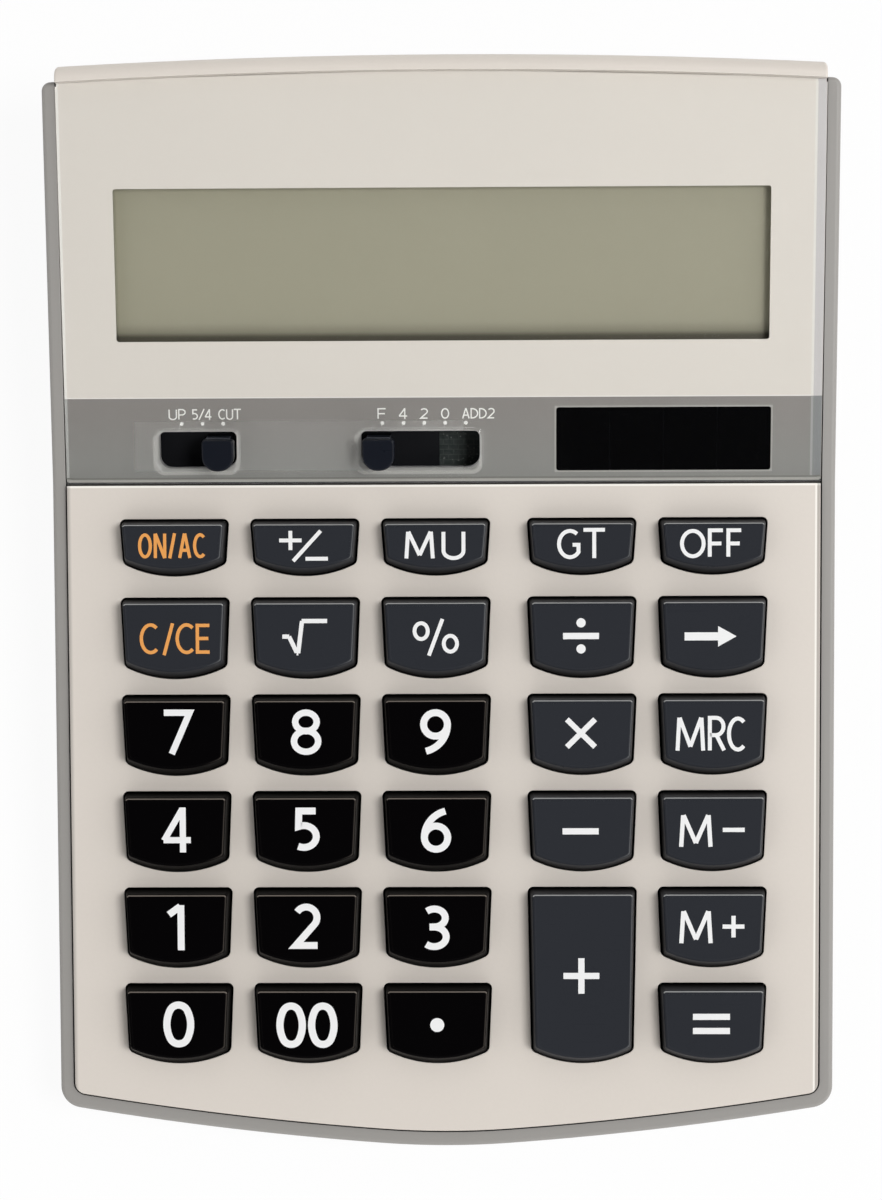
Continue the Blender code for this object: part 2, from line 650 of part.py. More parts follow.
def make_upper_case(deck, display, material):
    """Cream shell: keypad deck, seat under the lens, rounded back edge and full back wall."""
    plan = Plan(COVER_HALF, COVER_NOSE, CASE_BACK, COVER_CORNER_RADIUS, BACK_CORNER_RADIUS)

    def outer_section(x):
        drop = edge_drop(COVER_HALF - abs(x), COVER_EDGE_RADIUS)
        front = plan.front(x)
        soft = COVER_EDGE_RADIUS * plan.facing_front(x)
        back = plan.back(x)
        ridge = back - RIDGE_WIDTH
        centre_y = back - SHOULDER_RADIUS
        centre_z = lens_z(centre_y) - SHOULDER_RADIUS / cos(DISPLAY_ANGLE)
        shoulder = []
        for share in SHOULDER_SHARES:
            angle = (pi / 2 + DISPLAY_ANGLE) * share
            reach_y = SHOULDER_RADIUS * cos(angle)
            reach_z = SHOULDER_RADIUS * sin(angle)
            shoulder.append((centre_y + reach_y, centre_z + reach_z - drop))
        inner = CASE_BACK - back_bow(x) - BACK_WALL
        return [
            (front, deck_z(front) - SKIRT_DEPTH),
            (front, deck_z(front) - soft - drop),
            (front + soft, deck_z(front + soft) - drop),
            (DECK_END_Y, deck_z(DECK_END_Y) - drop),
            (DECK_END_Y, seat_z(DECK_END_Y) - drop),
            (ridge, seat_z(ridge) - drop),
            (ridge, lens_z(ridge) - drop),
            *shoulder,
            (back, FOOT_HEIGHT),
            (inner, FOOT_HEIGHT),
            (inner, seat_z(inner) - SKIRT_DEPTH),
            (JUNCTION_Y, deck_z(JUNCTION_Y) - SKIRT_DEPTH),
        ]

    upper = make_object("upper_case", loft(across(plan.stations(COVER_EDGE_RADIUS), outer_section)), material)

    inner_half = COVER_HALF - SKIRT_THICKNESS
    inner_tail = CASE_BACK - BACK_WALL - FIT_GAP / 2
    inside = Plan(inner_half, COVER_NOSE + SKIRT_THICKNESS, inner_tail, SKIRT_THICKNESS, SKIRT_THICKNESS)
    web_y = DECK_END_Y - SKIRT_THICKNESS

    def inner_section(x):
        front = inside.front(x)
        back = inside.back(x)
        under = DECK_THICKNESS / cos(DECK_ANGLE)
        seat_under = SEAT_THICKNESS / cos(DISPLAY_ANGLE)
        return [
            (front, -OVERRUN),
            (front, deck_z(front) - under),
            (web_y, deck_z(web_y) - under),
            (web_y, seat_z(DECK_END_Y) - seat_under),
            (back, seat_z(back) - seat_under),
            (back, -OVERRUN),
        ]

    cavity = make_object("upper_case_cavity", loft(across(inside.stations(SKIRT_THICKNESS), inner_section)))
    combine(upper, cavity, "DIFFERENCE")

    bosses = bmesh.new()
    for name, x, y, seat in case_screw_places():
        low = seat + SCREW_WEB + FIT_GAP
        surface = deck_z(y) - DECK_THICKNESS if y < JUNCTION_Y else seat_z(y) - SEAT_THICKNESS
        add_prism(bosses, circle(x, y, BOSS_RADIUS), low, surface + MERGE)
    combine(upper, make_object("upper_case_bosses", bosses), "UNION")

    posts = bmesh.new()
    for x in (-BOARD_POST_X, BOARD_POST_X):
        for v in (BOARD_PEG_V, BOARD_SCREW_V):
            outline = circle(x, v, BOARD_POST_RADIUS)
            add_prism(posts, outline, DISPLAY_BOARD_W + FIT_GAP, SEAT_UNDER_W + MERGE)
    combine(upper, make_object("upper_case_posts", posts, parent=display), "UNION")

    openings = bmesh.new()
    for name, x, v, length, row, column in key_places():
        outline = [(x + px, v + py) for px, py in key_outline(length, 0)]
        add_prism(openings, outline, -DECK_THICKNESS - OVERRUN, OVERRUN)
    combine(upper, make_object("key_openings", openings, parent=deck), "DIFFERENCE")

    windows = bmesh.new()
    window = rectangle(0, LCD_CENTRE, LCD_WIDTH + 2 * FIT_GAP, LCD_LENGTH + 2 * FIT_GAP)
    add_prism(windows, window, SEAT_UNDER_W - OVERRUN, SEAT_W + OVERRUN)
    pocket = rectangle(SOLAR_X, SOLAR_CENTRE, SOLAR_WIDTH + 2 * FIT_GAP, SOLAR_LENGTH + 2 * FIT_GAP)
    add_prism(windows, pocket, SOLAR_UNDER_W - FIT_GAP, SEAT_W + OVERRUN)
    for x, width in slot_places():
        slot = rounded_box(x, SLOT_CENTRE, width + 2 * SLOT_DISH, SLOT_LENGTH + 2 * SLOT_DISH,
                           SLOT_BACK_RADIUS, SLOT_FRONT_RADIUS)
        add_prism(windows, slot, SEAT_UNDER_W - OVERRUN, SEAT_W + OVERRUN)
    for x in (-BOARD_POST_X, BOARD_POST_X):
        pilot = circle(x, BOARD_SCREW_V, BOARD_SCREW_RADIUS + FIT_GAP)
        add_prism(windows, pilot, DISPLAY_BOARD_W - OVERRUN, DISPLAY_BOARD_W + BOARD_SCREW_BITE + FIT_GAP)
    combine(upper, make_object("seat_openings", windows, parent=display), "DIFFERENCE")

    lead_hole = bmesh.new()
    outline = rectangle(SOLAR_X, LEAD_V, LEAD_WIDTH + 2 * FIT_GAP, LEAD_THICKNESS + 2 * FIT_GAP)
    add_prism(lead_hole, outline, SEAT_UNDER_W - OVERRUN, SEAT_W + OVERRUN)
    combine(upper, make_object("lead_hole", lead_hole, parent=display), "DIFFERENCE")

    holes = bmesh.new()
    for name, x, y, seat in case_screw_places():
        low = seat + SCREW_WEB + FIT_GAP
        add_prism(holes, circle(x, y, SCREW_RADIUS + FIT_GAP), low - OVERRUN, low + SCREW_BITE + FIT_GAP)
    notch = rectangle(0, CASE_BACK, DOOR_WIDTH + 2 * (DOOR_TONGUE + FIT_GAP), 2 * (BACK_WALL + OVERRUN))
    add_prism(holes, notch, -OVERRUN, DOOR_TOP_Z + FIT_GAP)
    combine(upper, make_object("upper_case_holes", holes), "DIFFERENCE")


def slot_places():
    """Middle and width of the two switch slots."""
    rounding = ROUNDING_STEPS * DETENT_PITCH
    decimal = DECIMAL_STEPS * DETENT_PITCH
    return (
        (ROUNDING_REST_X - rounding / 2, rounding + KNOB_WIDTH + 2 * FIT_GAP),
        (DECIMAL_REST_X + decimal / 2, decimal + KNOB_WIDTH + 2 * FIT_GAP),
    )


def make_base_case(material):
    """Grey tray: flat floor, bowed front rail and two side rails that follow the slopes."""
    tail = CASE_BACK - BACK_WALL - FIT_GAP
    plan = Plan(CASE_HALF, CASE_NOSE, tail, CASE_CORNER_RADIUS, BACK_CORNER_RADIUS)

    def outer_section(x):
        drop = edge_drop(CASE_HALF - abs(x), RAIL_EDGE_RADIUS)
        soft = RAIL_EDGE_RADIUS * plan.facing_front(x)
        half_soft = soft * (1 - cos(pi / 4))
        front = plan.front(x)
        back = plan.back(x)
        low = FOOT_HEIGHT + drop
        return [
            (front + soft, low),
            (back - soft, low),
            (back, low + soft),
            (back, rail_z(back) - drop - soft),
            (back - soft, rail_z(back - soft) - drop),
            (JUNCTION_Y, rail_z(JUNCTION_Y) - drop),
            (front + soft, rail_z(front + soft) - drop),
            (front + half_soft, rail_z(front) - half_soft - drop),
            (front, rail_z(front) - soft - drop),
            (front, low + soft),
        ]

    base = make_object("base_case", loft(across(plan.stations(RAIL_EDGE_RADIUS), outer_section)), material)

    corner = COVER_CORNER_RADIUS + FIT_GAP
    inside = Plan(COVER_HALF + FIT_GAP, COVER_NOSE - FIT_GAP, CASE_BACK, corner, BACK_CORNER_RADIUS)
    high = lens_z(CASE_BACK) + OVERRUN

    def inner_section(x):
        front = inside.front(x)
        back = CASE_BACK + OVERRUN
        return [(front, FLOOR_TOP), (front, high), (back, high), (back, FLOOR_TOP)]

    cavity = make_object("base_case_cavity", loft(across(inside.stations(COVER_EDGE_RADIUS), inner_section)))
    combine(base, cavity, "DIFFERENCE")

    posts = bmesh.new()
    for name, x, y, seat in case_screw_places():
        add_prism(posts, circle(x, y, PILLAR_RADIUS), FLOOR_TOP - MERGE, seat + SCREW_WEB)
    for share_v in SUPPORT_V_SHARES:
        v = KEY_BOARD_BACK_V + (KEY_BOARD_FRONT_V - KEY_BOARD_BACK_V) * share_v
        y = JUNCTION_Y + v * cos(DECK_ANGLE) - KEY_BOARD_W * sin(DECK_ANGLE)
        under = deck_z(y - SUPPORT_RADIUS) + KEY_BOARD_UNDER_W / cos(DECK_ANGLE)
        for share_x in SUPPORT_X_SHARES:
            outline = circle(KEYS_HALF_WIDTH * share_x, y, SUPPORT_RADIUS, DOME_SIDES)
            add_prism(posts, outline, FLOOR_TOP - MERGE, under - FIT_GAP)
    combine(base, make_object("base_case_posts", posts), "UNION")

    housing = bmesh.new()
    housing_front = DOOR_FRONT - FIT_GAP - BAY_WALL
    housing_back = tail - FIT_GAP
    housing_width = DOOR_WIDTH + 2 * (DOOR_TONGUE + FIT_GAP + BAY_WALL)
    roof = rectangle(0, (housing_front + housing_back) / 2, housing_width, housing_back - housing_front)
    add_prism(housing, roof, FLOOR_TOP - MERGE, DOOR_TOP_Z + FIT_GAP + DOOR_HOUSING)
    combine(base, make_object("door_housing", housing), "UNION")

    walls = bmesh.new()
    outer_wall = rectangle(0, CELL_Y, 2 * (BAY_HALF + BAY_WALL), 2 * (BAY_HALF + BAY_WALL))
    add_prism(walls, outer_wall, FLOOR_TOP, BAY_TOP_Z)
    combine(base, make_object("battery_walls", walls), "UNION")

    holes = bmesh.new()
    for name, x, y, seat in case_screw_places():
        head = circle(x, y, SCREW_HEAD_RADIUS + FIT_GAP)
        shank = circle(x, y, SCREW_RADIUS + FIT_GAP)
        rings = [at_height(head, -OVERRUN), at_height(head, seat), at_height(shank, seat)]
        rings.append(at_height(shank, seat + SCREW_WEB + OVERRUN))
        add_loft(holes, rings)
    for name, x, y in foot_places():
        add_prism(holes, circle(x, y, FOOT_RADIUS + FIT_GAP, FOOT_SIDES), -OVERRUN, FOOT_HEIGHT + FOOT_RECESS)
    combine(base, make_object("base_case_holes", holes), "DIFFERENCE")

    bay = bmesh.new()
    bay_outline = rectangle(0, CELL_Y, 2 * BAY_HALF, 2 * BAY_HALF)
    add_prism(bay, bay_outline, -OVERRUN, BAY_TOP_Z + OVERRUN)
    combine(base, make_object("battery_bay", bay), "DIFFERENCE")

    opening = bmesh.new()
    front = DOOR_FRONT - FIT_GAP
    back = CASE_BACK + OVERRUN
    half = DOOR_WIDTH / 2 + FIT_GAP
    wide = half + DOOR_TONGUE
    ledge = FOOT_HEIGHT + DOOR_THICKNESS - FIT_GAP
    top = DOOR_TOP_Z + FIT_GAP
    section = [(-half, -OVERRUN), (-half, ledge), (-wide, ledge), (-wide, top)]
    section += [(-x, z) for x, z in reversed(section)]
    add_loft(opening, [[(x, front, z) for x, z in section], [(x, back, z) for x, z in section]])
    combine(base, make_object("door_opening", opening), "DIFFERENCE")


def make_battery_door(material):
    """Sliding door with a tongue along each side; its back end closes the notch in the back wall."""
    half = DOOR_WIDTH / 2
    wide = half + DOOR_TONGUE
    step = FOOT_HEIGHT + DOOR_THICKNESS
    section = [(-half, FOOT_HEIGHT), (-half, step), (-wide, step), (-wide, DOOR_TOP_Z)]
    section += [(-x, z) for x, z in reversed(section)]
    local = [[(x, y, z) for x, z in section] for y in (DOOR_FRONT - CELL_Y, CASE_BACK - CELL_Y)]
    make_object("battery_door", loft(local), material, location=(0, CELL_Y, 0))


def display_board_under_z(y):
    """Height of the underside of the display board."""
    return lens_z(y) + DISPLAY_BOARD_UNDER_W / cos(DISPLAY_ANGLE)


def make_cell_and_contacts(steel, brass):
    """Button cell lying flat above the door, and two spring strips from it up to the display board."""
    rings = [
        at_height(circle(0, CELL_Y, CELL_RADIUS - CELL_BEVEL, FOOT_SIDES), CELL_BOTTOM_Z),
        at_height(circle(0, CELL_Y, CELL_RADIUS, FOOT_SIDES), CELL_BOTTOM_Z + CELL_BEVEL),
        at_height(circle(0, CELL_Y, CELL_RADIUS, FOOT_SIDES), CELL_TOP_Z),
    ]
    make_object("coin_cell", loft(rings), steel)

    half = CONTACT_WIDTH / 2
    wall = BAY_HALF - FIT_GAP
    bend = wall - CONTACT_SHEET
    top = CONTACT_TOP_Z
    high = display_board_under_z(CELL_Y - wall) - FIT_GAP
    section = [(half, top - CONTACT_SHEET), (half, top), (-bend, top), (-bend, high), (-wall, high)]
    section.append((-wall, top - CONTACT_SHEET))
    sides = [[(x, CELL_Y + y, z) for y, z in section] for x in (-half, half)]
    make_object("cell_contact_top", loft(sides), brass)

    near = -CELL_RADIUS - FIT_GAP
    top = CELL_TOP_Z
    under = top - CONTACT_SHEET
    high = display_board_under_z(CELL_Y - half) - FIT_GAP
    section = [(near, CELL_BOTTOM_Z), (near, top), (-bend, top), (-bend, high), (-wall, high), (-wall, under)]
    section += [(near - CONTACT_SHEET, under), (near - CONTACT_SHEET, CELL_BOTTOM_Z)]
    sides = [[(x, CELL_Y + y, z) for x, z in section] for y in (-half, half)]
    make_object("cell_contact_side", loft(sides), brass)


def make_lens(display, material):
    """Clear panel over the whole display, bevelled at its sides and front, with two switch slots."""
    thickness = LENS_THICKNESS / cos(DISPLAY_ANGLE)
    cover = Plan(COVER_HALF, COVER_NOSE, CASE_BACK, COVER_CORNER_RADIUS, BACK_CORNER_RADIUS)

    def section(x):
        distance = COVER_HALF - abs(x)
        drop = LENS_BEVEL_DEPTH * max(1 - distance / LENS_BEVEL, 0.0)
        back = cover.back(x) - RIDGE_WIDTH - FIT_GAP
        bevel = LENS_FRONT_Y + LENS_BEVEL
        return [
            (LENS_FRONT_Y, lens_z(LENS_FRONT_Y) - thickness),
            (LENS_FRONT_Y, lens_z(LENS_FRONT_Y) - LENS_BEVEL_DEPTH - drop),
            (bevel, lens_z(bevel) - drop),
            (back, lens_z(back) - drop),
            (back, lens_z(back) - thickness),
        ]

    edge = COVER_HALF - LENS_BEVEL
    inner = [edge * k / BOW_STATIONS for k in range(-BOW_STATIONS, BOW_STATIONS + 1)]
    lens = make_object("display_lens", loft(across([-COVER_HALF, *inner, COVER_HALF], section)), material)

    slots = bmesh.new()
    for x, width in slot_places():
        narrow = rounded_box(x, SLOT_CENTRE, width, SLOT_LENGTH, SLOT_BACK_RADIUS, SLOT_FRONT_RADIUS)
        wide = rounded_box(x, SLOT_CENTRE, width + 2 * SLOT_DISH, SLOT_LENGTH + 2 * SLOT_DISH,
                           SLOT_BACK_RADIUS + SLOT_DISH, SLOT_FRONT_RADIUS + SLOT_DISH)
        rings = [at_height(narrow, -LENS_THICKNESS - OVERRUN), at_height(narrow, -SLOT_DISH_DEPTH)]
        rings += [at_height(wide, 0), at_height(wide, OVERRUN)]
        add_loft(slots, rings)
    combine(lens, make_object("lens_slots", slots, parent=display), "DIFFERENCE")


def make_display_stack(display, glass, white, rubber, board_green, cell_black, copper, epoxy):
    """What lies under the lens: LCD, its frame and contact strip, solar cell and its lead, board and chip."""
    bm = bmesh.new()
    add_prism(bm, rectangle(0, 0, LCD_WIDTH, LCD_LENGTH), -LCD_THICKNESS, 0)
    make_object("lcd_glass", bm, glass, display, (0, LCD_CENTRE, LCD_TOP_W))

    width = LCD_WIDTH + 2 * HOLDER_MARGIN
    length = LCD_LENGTH + 2 * HOLDER_MARGIN
    outer = rectangle(0, 0, width, length)
    inner = rectangle(0, 0, width - 2 * HOLDER_BAR, length - 2 * HOLDER_BAR)
    rings = [at_height(outer, -HOLDER_HEIGHT), at_height(outer, 0), at_height(inner, 0)]
    rings.append(at_height(inner, -HOLDER_HEIGHT))
    bm = bmesh.new()
    loops = [[bm.verts.new(point) for point in ring] for ring in rings]
    for lower, upper in zip(loops, loops[1:] + loops[:1]):
        for i, vert in enumerate(lower):
            j = (i + 1) % len(lower)
            bm.faces.new((vert, lower[j], upper[j], upper[i]))
    make_object("lcd_holder", bm, white, display, (0, LCD_CENTRE, HOLDER_TOP_W))

    bm = bmesh.new()
    zebra_v = LCD_CENTRE - length / 2 + HOLDER_BAR + FIT_GAP + ZEBRA_THICKNESS / 2
    add_prism(bm, rectangle(0, 0, ZEBRA_WIDTH, ZEBRA_THICKNESS), -HOLDER_HEIGHT, 0)
    make_object("zebra_strip", bm, rubber, display, (0, zebra_v, HOLDER_TOP_W))

    bm = bmesh.new()
    add_prism(bm, rectangle(0, 0, SOLAR_WIDTH, SOLAR_LENGTH), -SOLAR_THICKNESS, 0)
    make_object("solar_cell", bm, cell_black, display, (SOLAR_X, SOLAR_CENTRE, SEAT_W))

    bm = bmesh.new()
    outline = rectangle(0, 0, LEAD_WIDTH, LEAD_THICKNESS)
    add_prism(bm, outline, DISPLAY_BOARD_W + FIT_GAP, SOLAR_UNDER_W - FIT_GAP)
    make_object("solar_lead", bm, copper, display, (SOLAR_X, LEAD_V, 0))

    middle = (DISPLAY_BOARD_FRONT + DISPLAY_BOARD_BACK) / 2
    length = DISPLAY_BOARD_BACK - DISPLAY_BOARD_FRONT
    bm = bmesh.new()
    add_prism(bm, rectangle(0, middle, 2 * DISPLAY_BOARD_HALF, length), -BOARD_THICKNESS, 0)
    board = make_object("display_board", bm, board_green, display, (0, 0, DISPLAY_BOARD_W))
    bm = bmesh.new()
    for x in (-BOARD_POST_X, BOARD_POST_X):
        hole = circle(x, BOARD_SCREW_V, BOARD_SCREW_RADIUS + FIT_GAP)
        add_prism(bm, hole, DISPLAY_BOARD_W - BOARD_THICKNESS - OVERRUN, DISPLAY_BOARD_W + OVERRUN)
    combine(board, make_object("display_board_holes", bm, parent=display), "DIFFERENCE")

    top = -BOARD_THICKNESS - FIT_GAP
    rings = [
        at_height(rectangle(0, 0, CHIP_SIZE, CHIP_SIZE), top),
        at_height(rectangle(0, 0, CHIP_SIZE - CHIP_BEVEL, CHIP_SIZE - CHIP_BEVEL), top - CHIP_HEIGHT / 2),
        at_height(rectangle(0, 0, CHIP_SIZE / 2, CHIP_SIZE / 2), top - CHIP_HEIGHT),
    ]
    make_object("controller_chip", loft(rings), epoxy, display, (CHIP_X, CHIP_V, DISPLAY_BOARD_W))


def make_board_screws(display, steel):
    """Two screws that hold the display board to the posts under the lens seat."""
    for name, x in (("board_screw_left", -BOARD_POST_X), ("board_screw_right", BOARD_POST_X)):
        head = circle(0, 0, SCREW_HEAD_RADIUS)
        shank = circle(0, 0, BOARD_SCREW_RADIUS)
        under = -BOARD_THICKNESS - FIT_GAP
        rings = [at_height(head, under - SCREW_HEAD_HEIGHT), at_height(head, under), at_height(shank, under)]
        rings.append(at_height(shank, BOARD_SCREW_BITE))
        make_object(name, loft(rings), steel, display, (x, BOARD_SCREW_V, DISPLAY_BOARD_W))


def make_case_screws(steel):
    """Four screws from below that hold the two halves of the case together."""
    for name, x, y, seat in case_screw_places():
        head = circle(0, 0, SCREW_HEAD_RADIUS)
        shank = circle(0, 0, SCREW_RADIUS)
        under = -FIT_GAP
        rings = [at_height(head, under - SCREW_HEAD_HEIGHT), at_height(head, under), at_height(shank, under)]
        rings.append(at_height(shank, SCREW_WEB + SCREW_BITE))
        make_object(name, loft(rings), steel, location=(x, y, seat))


def make_knob(name, wiper_name, x, display, dark, brass):
    """Slide switch knob: finger pad, stem through the lens, dust shield, and a wiper under its foot."""
    pad = rounded_box(0, 0, KNOB_WIDTH, KNOB_LENGTH, KNOB_BACK_RADIUS, KNOB_FRONT_RADIUS)
    pad_top = rounded_box(0, 0, KNOB_WIDTH - 2 * KNOB_BEVEL, KNOB_LENGTH - 2 * KNOB_BEVEL,
                          KNOB_BACK_RADIUS, KNOB_FRONT_RADIUS - KNOB_BEVEL)
    pad_bottom = FIT_GAP
    stem_v = SLOT_CENTRE - KNOB_CENTRE
    stem = rounded_box(0, stem_v, STEM_WIDTH, STEM_LENGTH, KNOB_BACK_RADIUS, KNOB_BACK_RADIUS)
    shield = rounded_box(0, stem_v, 2 * SHIELD_REACH, SHIELD_LENGTH, SHIELD_RADIUS, SHIELD_RADIUS)
    shield_under = SHIELD_TOP_W - SHIELD_THICKNESS
    rings = [
        at_height(pad_top, pad_bottom + KNOB_HEIGHT),
        at_height(pad, pad_bottom + KNOB_HEIGHT - KNOB_BEVEL),
        at_height(pad, pad_bottom),
        at_height(stem, pad_bottom),
        at_height(stem, SHIELD_TOP_W),
        at_height(shield, SHIELD_TOP_W),
        at_height(shield, shield_under),
        at_height(stem, shield_under),
        at_height(stem, KNOB_FOOT_W),
    ]
    make_object(name, loft(rings), dark, display, (x, KNOB_CENTRE, 0))

    half = WIPER_LENGTH / 2
    inner_half = half - WIPER_SHEET
    low = WIPER_UNDER_W
    high = low + WIPER_HEIGHT
    inner = high - WIPER_SHEET
    section = [(-half, high), (half, high), (half, low), (inner_half, low)]
    section += [(inner_half, inner), (-inner_half, inner), (-inner_half, low), (-half, low)]
    side = WIPER_WIDTH / 2
    rings = [[(px, stem_v + y, pz) for px, pz in section] for y in (-side, side)]
    make_object(wiper_name, loft(rings), brass, display, (x, KNOB_CENTRE, 0))


def make_key_board_and_mat(deck, board_material, rubber):
    """Key board with the rubber mat over it: one hollow dome under each key's plunger."""
    middle = (KEY_BOARD_BACK_V + KEY_BOARD_FRONT_V) / 2
    length = KEY_BOARD_BACK_V - KEY_BOARD_FRONT_V
    outline = rounded_box(0, middle, 2 * KEY_BOARD_HALF, length, BOARD_CORNER_RADIUS, KEY_BOARD_FRONT)
    bm = bmesh.new()
    add_prism(bm, outline, -BOARD_THICKNESS, 0)
    make_object("key_board", bm, board_material, deck, (0, 0, KEY_BOARD_W))

    bm = bmesh.new()
    add_prism(bm, outline, MAT_TOP_W - MAT_THICKNESS, MAT_TOP_W)
    mat = make_object("rubber_mat", bm, rubber, deck)
    domes = bmesh.new()
    hollows = bmesh.new()
    sunk = MAT_THICKNESS / 2
    for name, x, v, length, row, column in key_places():
        base = circle(x, v, DOME_RADIUS, DOME_SIDES)
        top = circle(x, v, DOME_TOP_RADIUS, DOME_SIDES)
        rings = [at_height(base, MAT_TOP_W - sunk), at_height(base, MAT_TOP_W), at_height(top, DOME_TOP_W)]
        add_loft(domes, rings)
        mouth = circle(x, v, DOME_RADIUS - DOME_WALL, DOME_SIDES)
        crown = circle(x, v, DOME_TOP_RADIUS - DOME_WALL, DOME_SIDES)
        low = MAT_TOP_W - MAT_THICKNESS - OVERRUN
        add_loft(hollows, [at_height(mouth, low), at_height(mouth, MAT_TOP_W - sunk),
                           at_height(crown, DOME_TOP_W - DOME_ROOF)])
    combine(mat, make_object("mat_domes", domes, parent=deck), "UNION")
    combine(mat, make_object("mat_hollows", hollows, parent=deck), "DIFFERENCE")


def make_ribbon(material):
    """Flat cable soldered under both boards, with a loop of slack between them."""
    key_under = KEY_BOARD_UNDER_W - FIT_GAP
    display_under = DISPLAY_BOARD_UNDER_W - FIT_GAP

    def under_key(v):
        return (JUNCTION_Y + v * cos(DECK_ANGLE) - key_under * sin(DECK_ANGLE),
                JUNCTION_HEIGHT + v * sin(DECK_ANGLE) + key_under * cos(DECK_ANGLE))

    def under_display(v):
        return (JUNCTION_Y + v * cos(DISPLAY_ANGLE) - display_under * sin(DISPLAY_ANGLE),
                JUNCTION_HEIGHT + DISPLAY_STEP + v * sin(DISPLAY_ANGLE) + display_under * cos(DISPLAY_ANGLE))

    start = under_key(KEY_BOARD_BACK_V - RIBBON_LAP)
    key_edge = under_key(KEY_BOARD_BACK_V)
    display_edge = under_display(DISPLAY_BOARD_FRONT)
    end = under_display(DISPLAY_BOARD_FRONT + RIBBON_LAP)
    low = min(key_edge[1], display_edge[1]) - RIBBON_DIP
    middle = ((key_edge[0] + display_edge[0]) / 2, low)
    top = [start, key_edge, middle, display_edge, end]
    section = top + [(y, z - RIBBON_THICKNESS) for y, z in reversed(top)]
    half = RIBBON_WIDTH / 2
    rings = [[(RIBBON_X + x, y, z) for y, z in section] for x in (-half, half)]
    make_object("ribbon_cable", loft(rings), material)


def foot_places():
    """Middle of each rubber foot: (name, x, y)."""
    side = CASE_HALF - FOOT_FROM_SIDE
    front = CASE_NOSE + FOOT_FROM_NOSE
    back = CASE_BACK - FOOT_FROM_BACK
    return (
        ("foot_front_left", -side, front),
        ("foot_front_right", side, front),
        ("foot_back_left", -side, back),
        ("foot_back_right", side, back),
    )


def make_feet(rubber):
    """Four round rubber feet seated in shallow recesses in the floor."""
    top = FOOT_HEIGHT + FOOT_RECESS - FIT_GAP
    for name, x, y in foot_places():
        rings = [
            at_height(circle(0, 0, FOOT_RADIUS - FOOT_BEVEL, FOOT_SIDES), 0),
            at_height(circle(0, 0, FOOT_RADIUS, FOOT_SIDES), FOOT_BEVEL),
            at_height(circle(0, 0, FOOT_RADIUS, FOOT_SIDES), top),
        ]
        make_object(name, loft(rings), rubber, location=(x, y, 0))


def main():
    clear_scene()
    cream = make_material("cream_plastic", (0.70, 0.64, 0.57), 0.45)
    grey = make_material("grey_plastic", (0.34, 0.33, 0.31), 0.5)
    slate = make_material("slate_key_plastic", (0.028, 0.030, 0.036), 0.35)
    black = make_material("black_key_plastic", (0.004, 0.004, 0.005), 0.15)
    knob_plastic = make_material("knob_plastic", (0.012, 0.014, 0.022), 0.35)
    clear = make_material("clear_acrylic", (0.8, 0.8, 0.78), 0.08)
    glass = make_material("lcd_glass", (0.31, 0.32, 0.24), 0.15)
    white = make_material("white_frame_plastic", (0.75, 0.75, 0.72), 0.5)
    rubber = make_material("grey_rubber", (0.15, 0.15, 0.15), 0.8)
    foot_rubber = make_material("foot_rubber", (0.03, 0.03, 0.03), 0.85)
    board = make_material("circuit_board", (0.05, 0.16, 0.07), 0.5)
    epoxy = make_material("black_epoxy", (0.01, 0.01, 0.01), 0.3)
    solar = make_material("solar_glass", (0.003, 0.003, 0.004), 0.1)
    ribbon = make_material("ribbon_plastic", (0.45, 0.46, 0.48), 0.45)
    steel = make_material("steel", (0.55, 0.55, 0.56), 0.3, 1.0)
    brass = make_material("contact_metal", (0.72, 0.60, 0.32), 0.3, 1.0)
    copper = make_material("lead_copper", (0.72, 0.40, 0.25), 0.35, 1.0)

    deck = make_empty("keypad_plane", (0, JUNCTION_Y, JUNCTION_HEIGHT), DECK_ANGLE)
    display = make_empty("display_plane", (0, JUNCTION_Y, JUNCTION_HEIGHT + DISPLAY_STEP), DISPLAY_ANGLE)

    make_base_case(grey)
    make_upper_case(deck, display, cream)
    make_lens(display, clear)
    make_display_stack(display, glass, white, rubber, board, solar, copper, epoxy)
    make_keys(deck, slate, black)
    make_key_board_and_mat(deck, board, rubber)
    make_ribbon(ribbon)
    make_knob("rounding_knob", "rounding_wiper", ROUNDING_REST_X, display, knob_plastic, brass)
    make_knob("decimal_knob", "decimal_wiper", DECIMAL_REST_X, display, knob_plastic, brass)
    make_battery_door(grey)
    make_cell_and_contacts(steel, brass)
    make_case_screws(steel)
    make_board_screws(display, steel)
    make_feet(foot_rubber)


main()
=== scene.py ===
"""Desktop calculator with a sloping display, two slide switches and 29 keys: how it looks."""
import json
from math import asin, atan2, cos, degrees, hypot, pi, radians, sin, sqrt, tan

import bmesh
import bpy
from mathutils import Matrix, Vector

